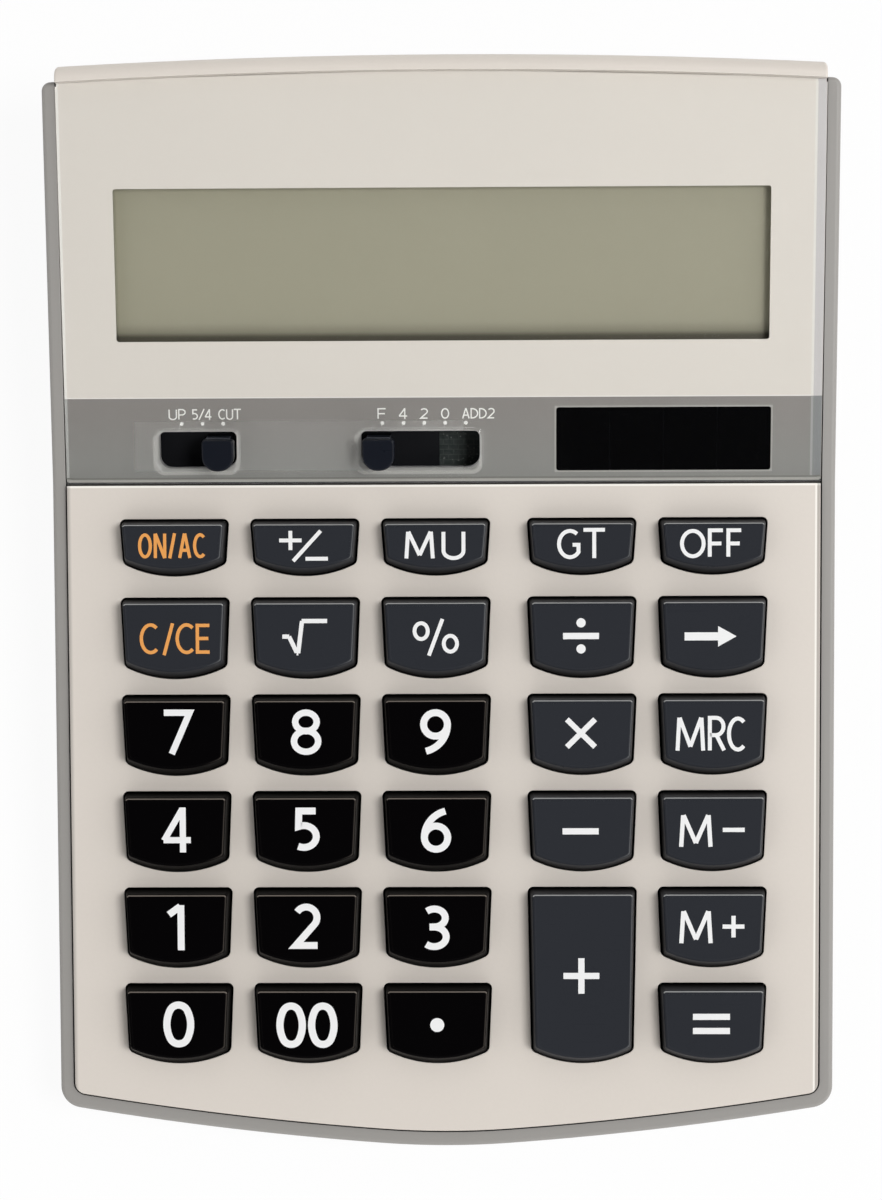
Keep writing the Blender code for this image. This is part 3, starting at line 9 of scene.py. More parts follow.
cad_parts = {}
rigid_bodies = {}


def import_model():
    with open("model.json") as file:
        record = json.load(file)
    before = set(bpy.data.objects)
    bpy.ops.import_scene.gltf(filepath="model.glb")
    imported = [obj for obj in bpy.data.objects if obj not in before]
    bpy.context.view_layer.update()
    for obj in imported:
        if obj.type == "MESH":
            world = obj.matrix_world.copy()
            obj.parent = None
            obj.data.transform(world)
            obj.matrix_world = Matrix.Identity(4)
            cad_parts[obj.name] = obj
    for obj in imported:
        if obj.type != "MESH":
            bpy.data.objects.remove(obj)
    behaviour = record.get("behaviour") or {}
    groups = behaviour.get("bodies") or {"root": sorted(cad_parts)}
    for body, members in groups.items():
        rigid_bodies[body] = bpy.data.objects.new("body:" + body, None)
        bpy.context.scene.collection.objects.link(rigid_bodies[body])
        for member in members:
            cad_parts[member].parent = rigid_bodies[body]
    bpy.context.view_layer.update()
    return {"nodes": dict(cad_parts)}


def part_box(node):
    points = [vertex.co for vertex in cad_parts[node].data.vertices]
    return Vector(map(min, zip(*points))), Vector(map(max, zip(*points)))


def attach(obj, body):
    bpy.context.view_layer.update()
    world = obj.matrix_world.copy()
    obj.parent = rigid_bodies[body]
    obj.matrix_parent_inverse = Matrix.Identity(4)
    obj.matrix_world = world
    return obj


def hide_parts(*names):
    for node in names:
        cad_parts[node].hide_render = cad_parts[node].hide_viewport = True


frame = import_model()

MM = 0.001
FLAT = (0, 0, 1)

# Slopes and heights, in millimetres and degrees
DECK_SLOPE = 4.2
DISPLAY_SLOPE = 11.2
RAIL_SLOPE = 10.2
SEAM_Y = 24.009
DECK_AT_SEAM = 21.027
PANEL_AT_SEAM = 21.627
RAIL_AT_SEAM = 20.127
FOOT_HEIGHT = 1.2
FLOOR_TOP = 3.4

# Outlines seen from above
COVER_HALF = 70.825
COVER_NOSE = -99.209
CASE_HALF = 73.675
CASE_NOSE = -102.209
CASE_TAIL = 102.209
DECK_END = 23.809
PANEL_FRONT = 24.209

DECK = Matrix.Translation((0, SEAM_Y * MM, DECK_AT_SEAM * MM)) @ Matrix.Rotation(radians(DECK_SLOPE), 4, "X")
DISPLAY = Matrix.Translation((0, SEAM_Y * MM, PANEL_AT_SEAM * MM)) @ Matrix.Rotation(radians(DISPLAY_SLOPE), 4, "X")
SIDEWAYS = Matrix(((0, 0, 1, 0), (1, 0, 0, 0), (0, 1, 0, 0), (0, 0, 0, 1)))


def deck_z(y):
    return DECK_AT_SEAM + (y - SEAM_Y) * tan(radians(DECK_SLOPE))


def panel_z(y):
    return PANEL_AT_SEAM + (y - SEAM_Y) * tan(radians(DISPLAY_SLOPE))


def seat_z(y):
    return panel_z(y) - 2.3 / cos(radians(DISPLAY_SLOPE))


def rail_z(y):
    return RAIL_AT_SEAM + (y - SEAM_Y) * tan(radians(DECK_SLOPE if y < SEAM_Y else RAIL_SLOPE))


# Drawing and shaping

def set_down(name, x, y):
    """Starts a drawing with one point, in edit mode."""
    bpy.ops.object.select_all(action="DESELECT")
    bpy.ops.mesh.primitive_plane_add(size=MM)
    piece = bpy.context.object
    piece.name = name
    bpy.ops.object.mode_set(mode="EDIT")
    bpy.ops.mesh.select_mode(type="VERT")
    bpy.ops.transform.translate(value=(x * MM, y * MM, 0))
    bpy.ops.mesh.merge(type="CENTER")
    return piece


def trace(start, strokes):
    """Draws on from the selected point: (x, y) is a straight run, (x, y, turn, steps) an arc round that centre."""
    here = Vector((*start, 0))
    for stroke in strokes:
        if len(stroke) == 2:
            goal = Vector((*stroke, 0))
            bpy.ops.mesh.extrude_vertices_move(TRANSFORM_OT_translate={"value": (goal - here) * MM})
        else:
            x, y, turn, steps = stroke
            centre = Vector((x, y, 0))
            bpy.ops.mesh.spin(steps=steps, angle=-radians(turn), center=centre * MM, axis=FLAT)
            goal = centre + Matrix.Rotation(radians(turn), 3, "Z") @ (here - centre)
        here = goal


def slab(name, start, strokes, low, high, mirrored=False):
    """A flat piece with a traced outline, standing between two heights."""
    piece = set_down(name, *start)
    trace(start, strokes)
    if mirrored:
        bpy.ops.mesh.select_all(action="SELECT")
        bpy.ops.mesh.duplicate()
        bpy.ops.transform.resize(value=(-1, 1, 1), center_override=(0, 0, 0))
    bpy.ops.mesh.select_all(action="SELECT")
    bpy.ops.mesh.remove_doubles(threshold=0.002 * MM)
    bpy.ops.mesh.edge_face_add()
    bpy.ops.transform.translate(value=(0, 0, low * MM))
    bpy.ops.mesh.extrude_region_move(TRANSFORM_OT_translate={"value": (0, 0, (high - low) * MM)})
    bpy.ops.mesh.select_all(action="SELECT")
    bpy.ops.mesh.normals_make_consistent(inside=False)
    bpy.ops.object.mode_set(mode="OBJECT")
    return piece


def hold(piece):
    """Selects one piece alone."""
    bpy.ops.object.select_all(action="DESELECT")
    piece.select_set(True)
    bpy.context.view_layer.objects.active = piece


def settle(piece, matrix):
    """Turns and moves a piece into place, and applies it."""
    hold(piece)
    piece.matrix_world = matrix @ piece.matrix_world
    bpy.ops.object.transform_apply(location=True, rotation=True, scale=True)
    return piece


def twin(piece, name, matrix):
    """A copy with its own mesh, put in its place."""
    hold(piece)
    bpy.ops.object.duplicate()
    copy = bpy.context.object
    copy.name = name
    return settle(copy, matrix)


def finish_modifier(piece, kind, **settings):
    """Adds a modifier and applies it."""
    hold(piece)
    modifier = piece.modifiers.new(kind.title(), kind)
    for setting, value in settings.items():
        setattr(modifier, setting, value)
    bpy.ops.object.modifier_apply(modifier=modifier.name)


def combine(piece, tool, operation):
    """Joins, cuts or intersects a piece with a tool, which is used up."""
    finish_modifier(piece, "BOOLEAN", object=tool, operation=operation, solver="EXACT")
    bpy.data.objects.remove(tool)


def gather(pieces, name):
    """Joins separate bodies into one object."""
    bpy.ops.object.select_all(action="DESELECT")
    for piece in pieces:
        piece.select_set(True)
    bpy.context.view_layer.objects.active = pieces[0]
    bpy.ops.object.join()
    whole = bpy.context.object
    whole.name = name
    return whole


def block(name, low, high):
    """A square-edged block between two corners."""
    bpy.ops.object.select_all(action="DESELECT")
    middle = [(a + b) / 2 * MM for a, b in zip(low, high)]
    size = [(b - a) * MM for a, b in zip(low, high)]
    bpy.ops.mesh.primitive_cube_add(size=1, location=middle, scale=size)
    piece = bpy.context.object
    piece.name = name
    bpy.ops.object.transform_apply(location=True, rotation=True, scale=True)
    return piece


def post(name, x, y, radius, low, high, sides=32):
    """A round post between two heights."""
    bpy.ops.object.select_all(action="DESELECT")
    place = (x * MM, y * MM, (low + high) / 2 * MM)
    bpy.ops.mesh.primitive_cylinder_add(vertices=sides, radius=radius * MM, depth=(high - low) * MM, location=place)
    piece = bpy.context.object
    piece.name = name
    bpy.ops.object.transform_apply(location=True, rotation=True, scale=True)
    return piece


def pick(piece, what, test):
    """Goes into edit mode with the edges, faces or points selected that pass a test, in millimetres."""
    hold(piece)
    bpy.ops.object.mode_set(mode="EDIT")
    bpy.ops.mesh.select_mode(type={"verts": "VERT", "edges": "EDGE", "faces": "FACE"}[what])
    bpy.ops.mesh.select_all(action="DESELECT")
    bm = bmesh.from_edit_mesh(piece.data)
    chosen = [part for part in getattr(bm, what) if test(part)]
    for part in chosen:
        part.select = True
    bm.select_flush_mode()
    bmesh.update_edit_mesh(piece.data)
    return len(chosen)


def put_away():
    bpy.ops.object.mode_set(mode="OBJECT")


def points(part):
    return [vert.co / MM for vert in part.verts]


def is_rim(edge, facing=1):
    """True where a wall meets a face that looks up, or down."""
    if len(edge.link_faces) != 2:
        return False
    heights = sorted(face.normal.z * facing for face in edge.link_faces)
    return abs(heights[0]) < 0.35 and heights[1] > 0.7


def round_edges(piece, test, width, segments=4, profile=0.5):
    """Rounds the edges that pass a test."""
    if pick(piece, "edges", test):
        bpy.ops.mesh.bevel(offset=width * MM, offset_type="OFFSET", segments=segments, profile=profile,
                           affect="EDGES", clamp_overlap=True)
    put_away()


def slice_off(piece, point, normal):
    """Cuts away what lies beyond a plane, and closes the cut."""
    pick(piece, "faces", lambda face: True)
    bpy.ops.mesh.select_all(action="SELECT")
    bpy.ops.mesh.bisect(plane_co=Vector(point) * MM, plane_no=normal, use_fill=True, clear_outer=True)
    put_away()


def smooth(piece, angle=32):
    """Smooth shading that leaves the flat faces flat."""
    hold(piece)
    bpy.ops.object.shade_smooth_by_angle(angle=radians(angle))
    finish_modifier(piece, "WEIGHTED_NORMAL", mode="FACE_AREA", weight=100, keep_sharp=True)


def plan(name, half, nose, tail, front_corner, back_corner, low, high):
    """A slab with the calculator's outline: bowed front and back, straight sides, rounded corners."""
    first = asin(12 / 165)
    wide_x = 12 - 640 * sin(first)
    wide_y = nose + 165 * (1 - cos(first)) + 640 * cos(first)
    turned = asin((half - front_corner - wide_x) / (640 - front_corner))
    corner_y = wide_y - (640 - front_corner) * cos(turned)
    deep = tail - 1380
    back_y = deep + sqrt((1380 - back_corner) ** 2 - (half - back_corner) ** 2)
    swing = degrees(atan2(back_y - deep, half - back_corner))
    strokes = [
        (0, nose + 165, degrees(first), 4),
        (wide_x, wide_y, degrees(turned - first), 14),
        (half - front_corner, corner_y, 90 - degrees(turned), 10),
        (half, back_y),
    ]
    if back_corner:
        strokes.append((half - back_corner, back_y, swing, 8))
    strokes.append((0, deep, 90 - swing, 14))
    return slab(name, (0, nose), strokes, low, high, mirrored=True)


def profile(name, corners, half):
    """A slab drawn from the side, (y, z), as wide as twice the half given."""
    piece = slab(name, corners[0], [*corners[1:], corners[0]], -half, half)
    return settle(piece, SIDEWAYS)


# Keypad places: column centres, and each row's centre and length along the slope
COLUMNS = (-50.625, -26.025, -1.425, 26.025, 50.625)
ROWS = ((-11.925, 10.75), (-29.05, 15.4), (-47.45, 15.4), (-65.85, 15.4), (-84.25, 15.4), (-102.65, 15.4))
KEY_NAMES = (
    ("key_on", "key_sign", "key_mu", "key_gt", "key_off"),
    ("key_clear", "key_root", "key_percent", "key_divide", "key_backspace"),
    ("key_7", "key_8", "key_9", "key_multiply", "key_mrc"),
    ("key_4", "key_5", "key_6", "key_minus", "key_m_minus"),
    ("key_1", "key_2", "key_3", "key_plus", "key_m_plus"),
    ("key_0", "key_00", "key_point", None, "key_equals"),
)
KEYS = {}
for row, names in enumerate(KEY_NAMES):
    for column, key in enumerate(names):
        if key:
            KEYS[key] = (COLUMNS[column], *ROWS[row], row, column)
KEYS["key_plus"] = (COLUMNS[3], -93.45, 33.8, 4, 3)


def key_slab(name, length, inset, low, high, radius_share=1.0):
    """A slab with a key's outline: straight back, sides that lean in, bowed front."""
    back_half = 10.3 - inset
    front_half = 9.7 - inset
    bow = 20.8 - inset
    centre = -length / 2 + 20.8
    front = centre - sqrt(bow ** 2 - front_half ** 2)
    back = length / 2 - inset
    swing = degrees(asin(front_half / bow))
    lean = atan2(10.3 - 9.7, length - 2.4)
    back_radius = max(1.0 - inset, 0.45) * radius_share
    front_radius = max(1.2 - inset, 0.5) * radius_share
    piece = slab(name, (-back_half, back), [(-front_half, front), (0, centre, 2 * swing, 18),
                 (back_half, back), (-back_half, back)], low, high)
    for radius, place, corner in ((back_radius, (back_half, back), pi / 2 - lean),
                                  (front_radius, (front_half, front), pi / 2 + lean + radians(swing))):
        def upright(edge):
            ends = points(edge)
            near = all(hypot(abs(end.x) - place[0], end.y - place[1]) < 0.05 for end in ends)
            return near and abs(ends[0].z - ends[1].z) > 0.1
        round_edges(piece, upright, radius / tan(corner / 2), 6)
    return piece


# Grey tray

CASE_SCREWS = ((-66.175, -84.009, 4.0), (66.175, -84.009, 4.0), (-66.175, 87.209, 10.5), (66.175, 87.209, 10.5))
DOOR_HALF = 13.0
CELL_Y = 87.109


def make_tray():
    tail = 99.809
    tray = plan("tray", CASE_HALF, CASE_NOSE, tail, 4.2, 1.7, 0.5, 60)
    side = [(-110, FOOT_HEIGHT), (110, FOOT_HEIGHT), (110, rail_z(110)), (SEAM_Y, RAIL_AT_SEAM), (-110, rail_z(-110))]
    combine(tray, profile("tray_side", side, 90), "INTERSECT")
    round_edges(tray, lambda edge: is_rim(edge), 0.9, 5)
    round_edges(tray, lambda edge: is_rim(edge, -1), 0.9, 4)
    hollow = plan("tray_hollow", COVER_HALF + 0.3, COVER_NOSE - 0.3, CASE_TAIL + 8, 2.45, 1.7, FLOOR_TOP, 60)
    combine(tray, hollow, "DIFFERENCE")
    round_edges(tray, lambda edge: is_rim(edge) and all(point.z > 8 for point in points(edge)), 0.26, 3)

    posts = []
    for x, y, seat in CASE_SCREWS:
        posts.append(post("pillar", x, y, 4.0, FLOOR_TOP - 1, seat + 1.6))
    for v in (-20.99, -64.45, -107.91):
        y = SEAM_Y + v * cos(radians(DECK_SLOPE)) + 6.8 * sin(radians(DECK_SLOPE))
        under = deck_z(y - 2) - 8.0 / cos(radians(DECK_SLOPE)) - 0.3
        for x in (-48.74, 0, 48.74):
            posts.append(post("board_rest", x, y, 2.0, FLOOR_TOP - 1, under, 16))
    combine(tray, gather(posts, "posts"), "UNION")
    housing = block("door_housing", (-16.2, CASE_TAIL - 27.8, FLOOR_TOP - 1), (16.2, 99.509, 4.4))
    combine(tray, housing, "UNION")
    walls = block("battery_walls", (-10.5, CELL_Y - 10.5, FLOOR_TOP), (10.5, CELL_Y + 10.5, 12.45))
    combine(tray, walls, "UNION")

    holes = []
    for x, y, seat in CASE_SCREWS:
        holes.append(post("head_well", x, y, 2.7, -2, seat))
        holes.append(post("screw_way", x, y, 1.45, seat - 0.5, seat + 4))
    wells = gather(holes[::2], "head_wells")
    ways = gather(holes[1::2], "screw_ways")
    combine(tray, wells, "DIFFERENCE")
    combine(tray, ways, "DIFFERENCE")
    recesses = []
    for node in ("foot_front_left", "foot_front_right", "foot_back_left", "foot_back_right"):
        low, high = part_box(node)
        recesses.append(post("foot_recess", (low.x + high.x) / 2 / MM, (low.y + high.y) / 2 / MM, 5.3, -2, 1.9, 48))
    combine(tray, gather(recesses, "foot_recesses"), "DIFFERENCE")
    combine(tray, block("battery_bay", (-9.0, CELL_Y - 9.0, -2), (9.0, CELL_Y + 9.0, 15)), "DIFFERENCE")
    front, wide, ledge, top = CASE_TAIL - 26.3, DOOR_HALF + 0.3 + 1.4, FOOT_HEIGHT + 0.5, 3.1
    narrow = DOOR_HALF + 0.3
    way = slab("door_way", (-narrow, -2), [(-narrow, ledge), (-wide, ledge), (-wide, top), (wide, top), (wide, ledge),
               (narrow, ledge), (narrow, -2), (-narrow, -2)], -(CASE_TAIL + 8), -front)
    settle(way, Matrix.Rotation(radians(90), 4, "X"))
    combine(tray, way, "DIFFERENCE")
    round_edges(tray, lambda edge: is_rim(edge, -1) and all(
        abs(point.z - FOOT_HEIGHT) < 0.02 and abs(point.x) < 71 for point in points(edge)), 0.15, 2)
    smooth(tray)
    return tray


# Cream cover

SLOTS = ((-45.875, 14.4), (-4.175, 22.2))


def make_cover():
    tail = CASE_TAIL
    cover = plan("cover", COVER_HALF, COVER_NOSE, tail, 2.15, 0, 0.5, 60)
    side = [(-110, deck_z(-110) - 6), (SEAM_Y, deck_z(SEAM_Y) - 6), (98.3, seat_z(98.3) - 6), (98.3, FOOT_HEIGHT),
            (110, FOOT_HEIGHT), (110, panel_z(110)), (23.9, panel_z(23.9)), (23.9, deck_z(23.9)),
            (-110, deck_z(-110))]
    combine(cover, profile("cover_side", side, 90), "INTERSECT")
    round_edges(cover, lambda edge: is_rim(edge) and all(point.y > 98 for point in points(edge)), 2.557, 8)

    hold(cover)
    bpy.ops.object.mode_set(mode="EDIT")
    bm = bmesh.from_edit_mesh(cover.data)
    weight = bm.edges.layers.float.get("bevel_weight_edge") or bm.edges.layers.float.new("bevel_weight_edge")
    for edge in bm.edges:
        ends = points(edge)
        on_side = all(abs(abs(end.x) - COVER_HALF) < 0.01 for end in ends)
        middle = (ends[0] + ends[1]) / 2
        upper = middle.z > deck_z(middle.y) - 1
        if on_side and middle.y > 98.4:
            height = panel_z(middle.y) - middle.z
            edge[weight] = min(0.3 + 0.7 * max(height, 0) / 2.6, 1.0)
        elif is_rim(edge) and upper and middle.y < 98.4 and not abs(middle.y - 23.9) < 0.02:
            edge[weight] = 0.3
    bmesh.update_edit_mesh(cover.data)
    put_away()
    finish_modifier(cover, "BEVEL", limit_method="WEIGHT", width=1.7 * MM, segments=4, offset_type="OFFSET")

    pocket = slab("panel_pocket", (0, DECK_END), [(90, DECK_END), (90, tail - 3.0 - 2.94),
                  (0, tail - 3.0 - 1380, 3.739, 12)], 0, 60, mirrored=True)
    slice_off(pocket, (0, SEAM_Y, seat_z(SEAM_Y)), (0, sin(radians(DISPLAY_SLOPE)), -cos(radians(DISPLAY_SLOPE))))
    combine(cover, pocket, "DIFFERENCE")

    hollow = plan("cover_hollow", COVER_HALF - 2, COVER_NOSE + 2, 99.959, 2.0, 2.0, -2, 60)
    web = DECK_END - 2
    roof = [(-110, -3), (110, -3), (110, seat_z(110) - 2.039), (web, seat_z(DECK_END) - 2.039),
            (web, deck_z(web) - 2.005), (-110, deck_z(-110) - 2.005)]
    combine(hollow, profile("cover_roof", roof, 90), "INTERSECT")
    combine(cover, hollow, "DIFFERENCE")

    posts = []
    for x, y, seat in CASE_SCREWS:
        under = deck_z(y) - 2 if y < SEAM_Y else seat_z(y) - 2
        posts.append(post("boss", x, y, 2.7, seat + 1.9, under + 1))
    combine(cover, gather(posts, "bosses"), "UNION")
    posts = []
    for x in (-59.675, 59.675):
        for v in (17.475, 61.85):
            posts.append(post("board_post", x, v, 2.5, -8.6, -3.3))
    combine(cover, settle(gather(posts, "board_posts"), DISPLAY), "UNION")

    openings = []
    for key, (x, v, length, row, column) in KEYS.items():
        opening = key_slab("opening", length, 0, -4, 2)
        openings.append(settle(opening, Matrix.Translation((x * MM, v * MM, 0))))
    combine(cover, settle(gather(openings, "key_openings"), DECK), "DIFFERENCE")

    def opening_rim(edge):
        ends = points(edge)
        inside = all(abs(end.x) < COVER_HALF - 2 and COVER_NOSE + 5 < end.y < DECK_END - 2 for end in ends)
        return inside and is_rim(edge) and all(end.z > deck_z(end.y) - 0.2 for end in ends)
    round_edges(cover, opening_rim, 0.22, 2)

    windows = [block("lcd_window", (-61.625, 24.9, -6), (61.625, 57.498, 0)),
               block("solar_window", (19.825, 1.05, -3.7), (62.825, 15.65, 0))]
    for x, width in SLOTS:
        windows.append(slot_slab("slot_way", x, width + 1.8, 8.6, 1.0, 2.2, -6, 0))
    combine(cover, settle(gather(windows, "seat_windows"), DISPLAY), "DIFFERENCE")
    combine(cover, settle(block("lead_way", (39.525, 4.65, -6), (43.125, 6.05, -1)), DISPLAY), "DIFFERENCE")
    holes = [post("screw_hole", x, y, 1.45, seat, seat + 6.4) for x, y, seat in CASE_SCREWS]
    holes.append(block("door_notch", (-14.7, 95, -2), (14.7, 110, 3.1)))
    combine(cover, gather(holes, "lower_holes"), "DIFFERENCE")
    pilots = [post("pilot", x, 61.85, 1.15, -11, -5.6) for x in (-59.675, 59.675)]
    combine(cover, settle(gather(pilots, "pilots"), DISPLAY), "DIFFERENCE")
    round_edges(cover, lambda edge: is_rim(edge) and all(abs(end.y - DECK_END) < 0.02 for end in points(edge)), 0.25, 3)
    smooth(cover)
    return cover


def slot_slab(name, x, width, length, back_radius, front_radius, low, high, centre=6.45):
    """A slab with a switch slot's outline: tight corners at the back, round ones at the front."""
    half, back, front = width / 2, centre + length / 2, centre - length / 2
    strokes = [(x - half, front + front_radius), (x - half + front_radius, front + front_radius, 90, 8),
               (x + half - front_radius, front), (x + half - front_radius, front + front_radius, 90, 8),
               (x + half, back - back_radius), (x + half - back_radius, back - back_radius, 90, 6),
               (x - half + back_radius, back), (x - half + back_radius, back - back_radius, 90, 6)]
    return slab(name, (x - half, back - back_radius), strokes, low, high)


# Clear panel over the display, and the print on its underside

def make_panel():
    tail = CASE_TAIL - 3.012
    panel = slab("clear_panel", (0, PANEL_FRONT), [(COVER_HALF, PANEL_FRONT),
                 (COVER_HALF, tail - 1380 + sqrt(1380 ** 2 - COVER_HALF ** 2)),
                 (0, tail - 1380, degrees(asin(COVER_HALF / 1380)), 14)], 0, 60, mirrored=True)
    tilt = radians(DISPLAY_SLOPE)
    up = (0, -sin(tilt), cos(tilt))
    slice_off(panel, (0, SEAM_Y, PANEL_AT_SEAM), up)
    slice_off(panel, (0, SEAM_Y, PANEL_AT_SEAM - 2 / cos(tilt)), [-part for part in up])
    fall = atan2(0.5, 1.5)
    slice_off(panel, (0, PANEL_FRONT, panel_z(PANEL_FRONT) - 0.5), (0, -sin(fall + tilt), cos(fall + tilt)))
    for way in (-1, 1):
        lean = Vector((way * sin(fall), 0, cos(fall)))
        slice_off(panel, (way * COVER_HALF, SEAM_Y, PANEL_AT_SEAM - 0.5), Matrix.Rotation(tilt, 3, "X") @ lean)
    tools = []
    for x, width in SLOTS:
        tool = slot_slab("slot_tool", x, width, 6.8, 1.0, 2.2, -4, -0.69)
        pick(tool, "faces", lambda face: face.normal.z > 0.9)
        for rise, spread in ((0.12, 0.08), (0.16, 0.22), (0.20, 0.27), (0.22, 0.33), (0.5, 0.0)):
            bpy.ops.mesh.extrude_region_move(TRANSFORM_OT_translate={"value": (0, 0, rise * MM)})
            if spread:
                grow = (1 + 2 * spread / width, 1 + 2 * spread / 6.8, 1)
                bpy.ops.transform.resize(value=grow, center_override=(x * MM, 7.6 * MM, 0))
        put_away()
        tools.append(tool)
    combine(panel, settle(gather(tools, "slot_tools"), DISPLAY), "DIFFERENCE")
    smooth(panel, 25)
    return panel


def make_print():
    """The layer printed under the panel, with its windows."""
    tail = CASE_TAIL - 3.015
    half = COVER_HALF - 0.1
    sheet = slab("panel_print", (0, PANEL_FRONT - 0.05), [(half, PANEL_FRONT - 0.05),
                 (half, tail - 1380 + sqrt(1380 ** 2 - half ** 2)),
                 (0, tail - 1380, degrees(asin(half / 1380)), 14)], 0, 60, mirrored=True)
    tilt = radians(DISPLAY_SLOPE)
    up = Vector((0, -sin(tilt), cos(tilt)))
    slice_off(sheet, (0, SEAM_Y, PANEL_AT_SEAM - 2.03 / cos(tilt)), up)
    slice_off(sheet, (0, SEAM_Y, PANEL_AT_SEAM - 2.13 / cos(tilt)), -up)
    windows = [block("lcd_view", (-60.8, 26.72, -4), (60.9, 55.1, -1)),
               block("solar_view", (21.27, 2.15, -4), (61.43, 14.1, -1))]
    for window in windows:
        round_edges(window, lambda edge: abs((edge.verts[0].co - edge.verts[1].co).z) > MM, 0.5, 4)
    for x, width in SLOTS:
        windows.append(slot_slab("slot_view", x, width, 7.15, 1.0, 2.2, -4, -1, centre=6.275))
    combine(sheet, settle(gather(windows, "print_windows"), DISPLAY), "DIFFERENCE")
    return sheet


# Keys

def make_key_cap(length):
    """A hollow cap with a rounded rim, a retaining lip and a plunger."""
    cap = key_slab("cap", length, 0.35, -2.6, 0.7)
    pick(cap, "faces", lambda face: face.normal.z > 0.9)
    wide, deep = 19.9, length - 0.7
    back_lean, front_lean = 0.45, 1.55
    still = deep / 2 - back_lean * deep / (back_lean + front_lean)
    bpy.ops.mesh.extrude_region_move(TRANSFORM_OT_translate={"value": (0, 0, 3.3 * MM)})
    shrink = (1 - 0.9 / wide, 1 - (back_lean + front_lean) / deep, 1)
    bpy.ops.transform.resize(value=shrink, center_override=(0, still * MM, 0))
    put_away()
    lip = key_slab("lip", length, -0.8, -3.2, -2.3)
    combine(cap, lip, "UNION")
    hollow = key_slab("hollow", length, 1.55, -5, 2.6)
    pick(hollow, "faces", lambda face: face.normal.z > 0.9)
    bpy.ops.transform.resize(value=(0.95, 0.93, 1), center_override=(0, 0, 0))
    put_away()
    combine(cap, hollow, "DIFFERENCE")
    combine(cap, post("plunger", 0, 0, 2.0, -3.2, 3.0, 24), "UNION")
    round_edges(cap, lambda edge: all(point.z > 3.9 for point in points(edge)), 0.5, 5)
    round_edges(cap, lambda edge: all(0.6 < point.z < 0.8 for point in points(edge)), 0.5, 3)
    pick(cap, "faces", lambda face: face.normal.z > 0.99 and face.calc_center_median().z > 3.9 * MM)
    bpy.ops.mesh.inset(thickness=0.10 * MM, depth=-0.05 * MM, use_even_offset=True)
    put_away()
    smooth(cap, 30)
    return cap


def make_keys():
    caps = {}
    kinds = {}
    for key, (x, v, length, row, column) in KEYS.items():
        if length not in kinds:
            kinds[length] = make_key_cap(length)
        caps[key] = twin(kinds[length], key.replace("key_", "cap_"), DECK @ Matrix.Translation((x * MM, v * MM, 0)))
    for kind in kinds.values():
        bpy.data.objects.remove(kind)
    return caps


# Slide switches

def make_switch(name, x):
    """A finger pad with a tight back and a round front, on a stem with a sprung foot."""
    pad = slot_slab(name, 0, 6.0, 5.95, 0.7, 2.8, 0.3, 2.9, centre=5.78)
    round_edges(pad, lambda edge: is_rim(edge), 0.4, 4)
    round_edges(pad, lambda edge: is_rim(edge, -1), 0.15, 2)
    stem = block("stem", (-2.2, 3.95, -6.0), (2.2, 8.95, 1.0))
    combine(pad, stem, "UNION")
    shield = block("shield", (-11.3, 1.65, -5.4), (11.3, 11.25, -4.6))
    round_edges(shield, lambda edge: abs((edge.verts[0].co - edge.verts[1].co).z) > 0.5 * MM, 1.2, 4)
    combine(pad, shield, "UNION")
    foot = block("foot", (-2.2, 3.95, -7.1), (2.2, 8.95, -5.2))
    combine(pad, foot, "UNION")
    smooth(pad, 30)
    return settle(pad, DISPLAY @ Matrix.Translation((x * MM, 0, 0)))


# Battery lid and feet

def make_lid():
    """Sliding lid with a tongue along each side, thumb grooves and an arrow sunk in its outside."""
    half, wide, step, top = 13.0, 14.4, FOOT_HEIGHT + 0.8, 2.8
    lid = slab("battery_lid", (-half, FOOT_HEIGHT), [(-half, step), (-wide, step), (-wide, top), (wide, top),
               (wide, step), (half, step), (half, FOOT_HEIGHT), (-half, FOOT_HEIGHT)], -CASE_TAIL, 26 - CASE_TAIL)
    settle(lid, Matrix.Rotation(radians(90), 4, "X"))
    grooves = []
    for row in range(6):
        y = 82.5 + 1.9 * row
        groove = block("groove", (-6.5 + 0.5 * abs(row - 2.5), y - 0.5, FOOT_HEIGHT - 1),
                       (6.5 - 0.5 * abs(row - 2.5), y + 0.5, FOOT_HEIGHT + 0.35))
        grooves.append(groove)
    grooves.append(slab("arrow", (-3.0, 95.4), [(3.0, 95.4), (0, 99.0), (-3.0, 95.4)], FOOT_HEIGHT - 1,
                        FOOT_HEIGHT + 0.3))
    combine(lid, gather(grooves, "lid_grooves"), "DIFFERENCE")
    round_edges(lid, lambda edge: is_rim(edge, -1) and all(abs(end.z - FOOT_HEIGHT) < 0.02 for end in points(edge)),
                0.15, 2)
    smooth(lid)
    return lid


def make_foot():
    """A round rubber foot with a softly rounded sole and a shallow ring in it."""
    foot = post("foot", 0, 0, 5.0, 0.0, 1.6, 64)
    round_edges(foot, lambda edge: is_rim(edge, -1), 0.4, 5)
    pick(foot, "faces", lambda face: face.normal.z < -0.99)
    bpy.ops.mesh.inset(thickness=1.2 * MM)
    bpy.ops.mesh.inset(thickness=0.35 * MM, depth=-0.25 * MM)
    bpy.ops.mesh.inset(thickness=0.35 * MM, depth=0.25 * MM)
    put_away()
    smooth(foot)
    return foot


# Display: the window looks down into a tray with the liquid crystal at its bottom

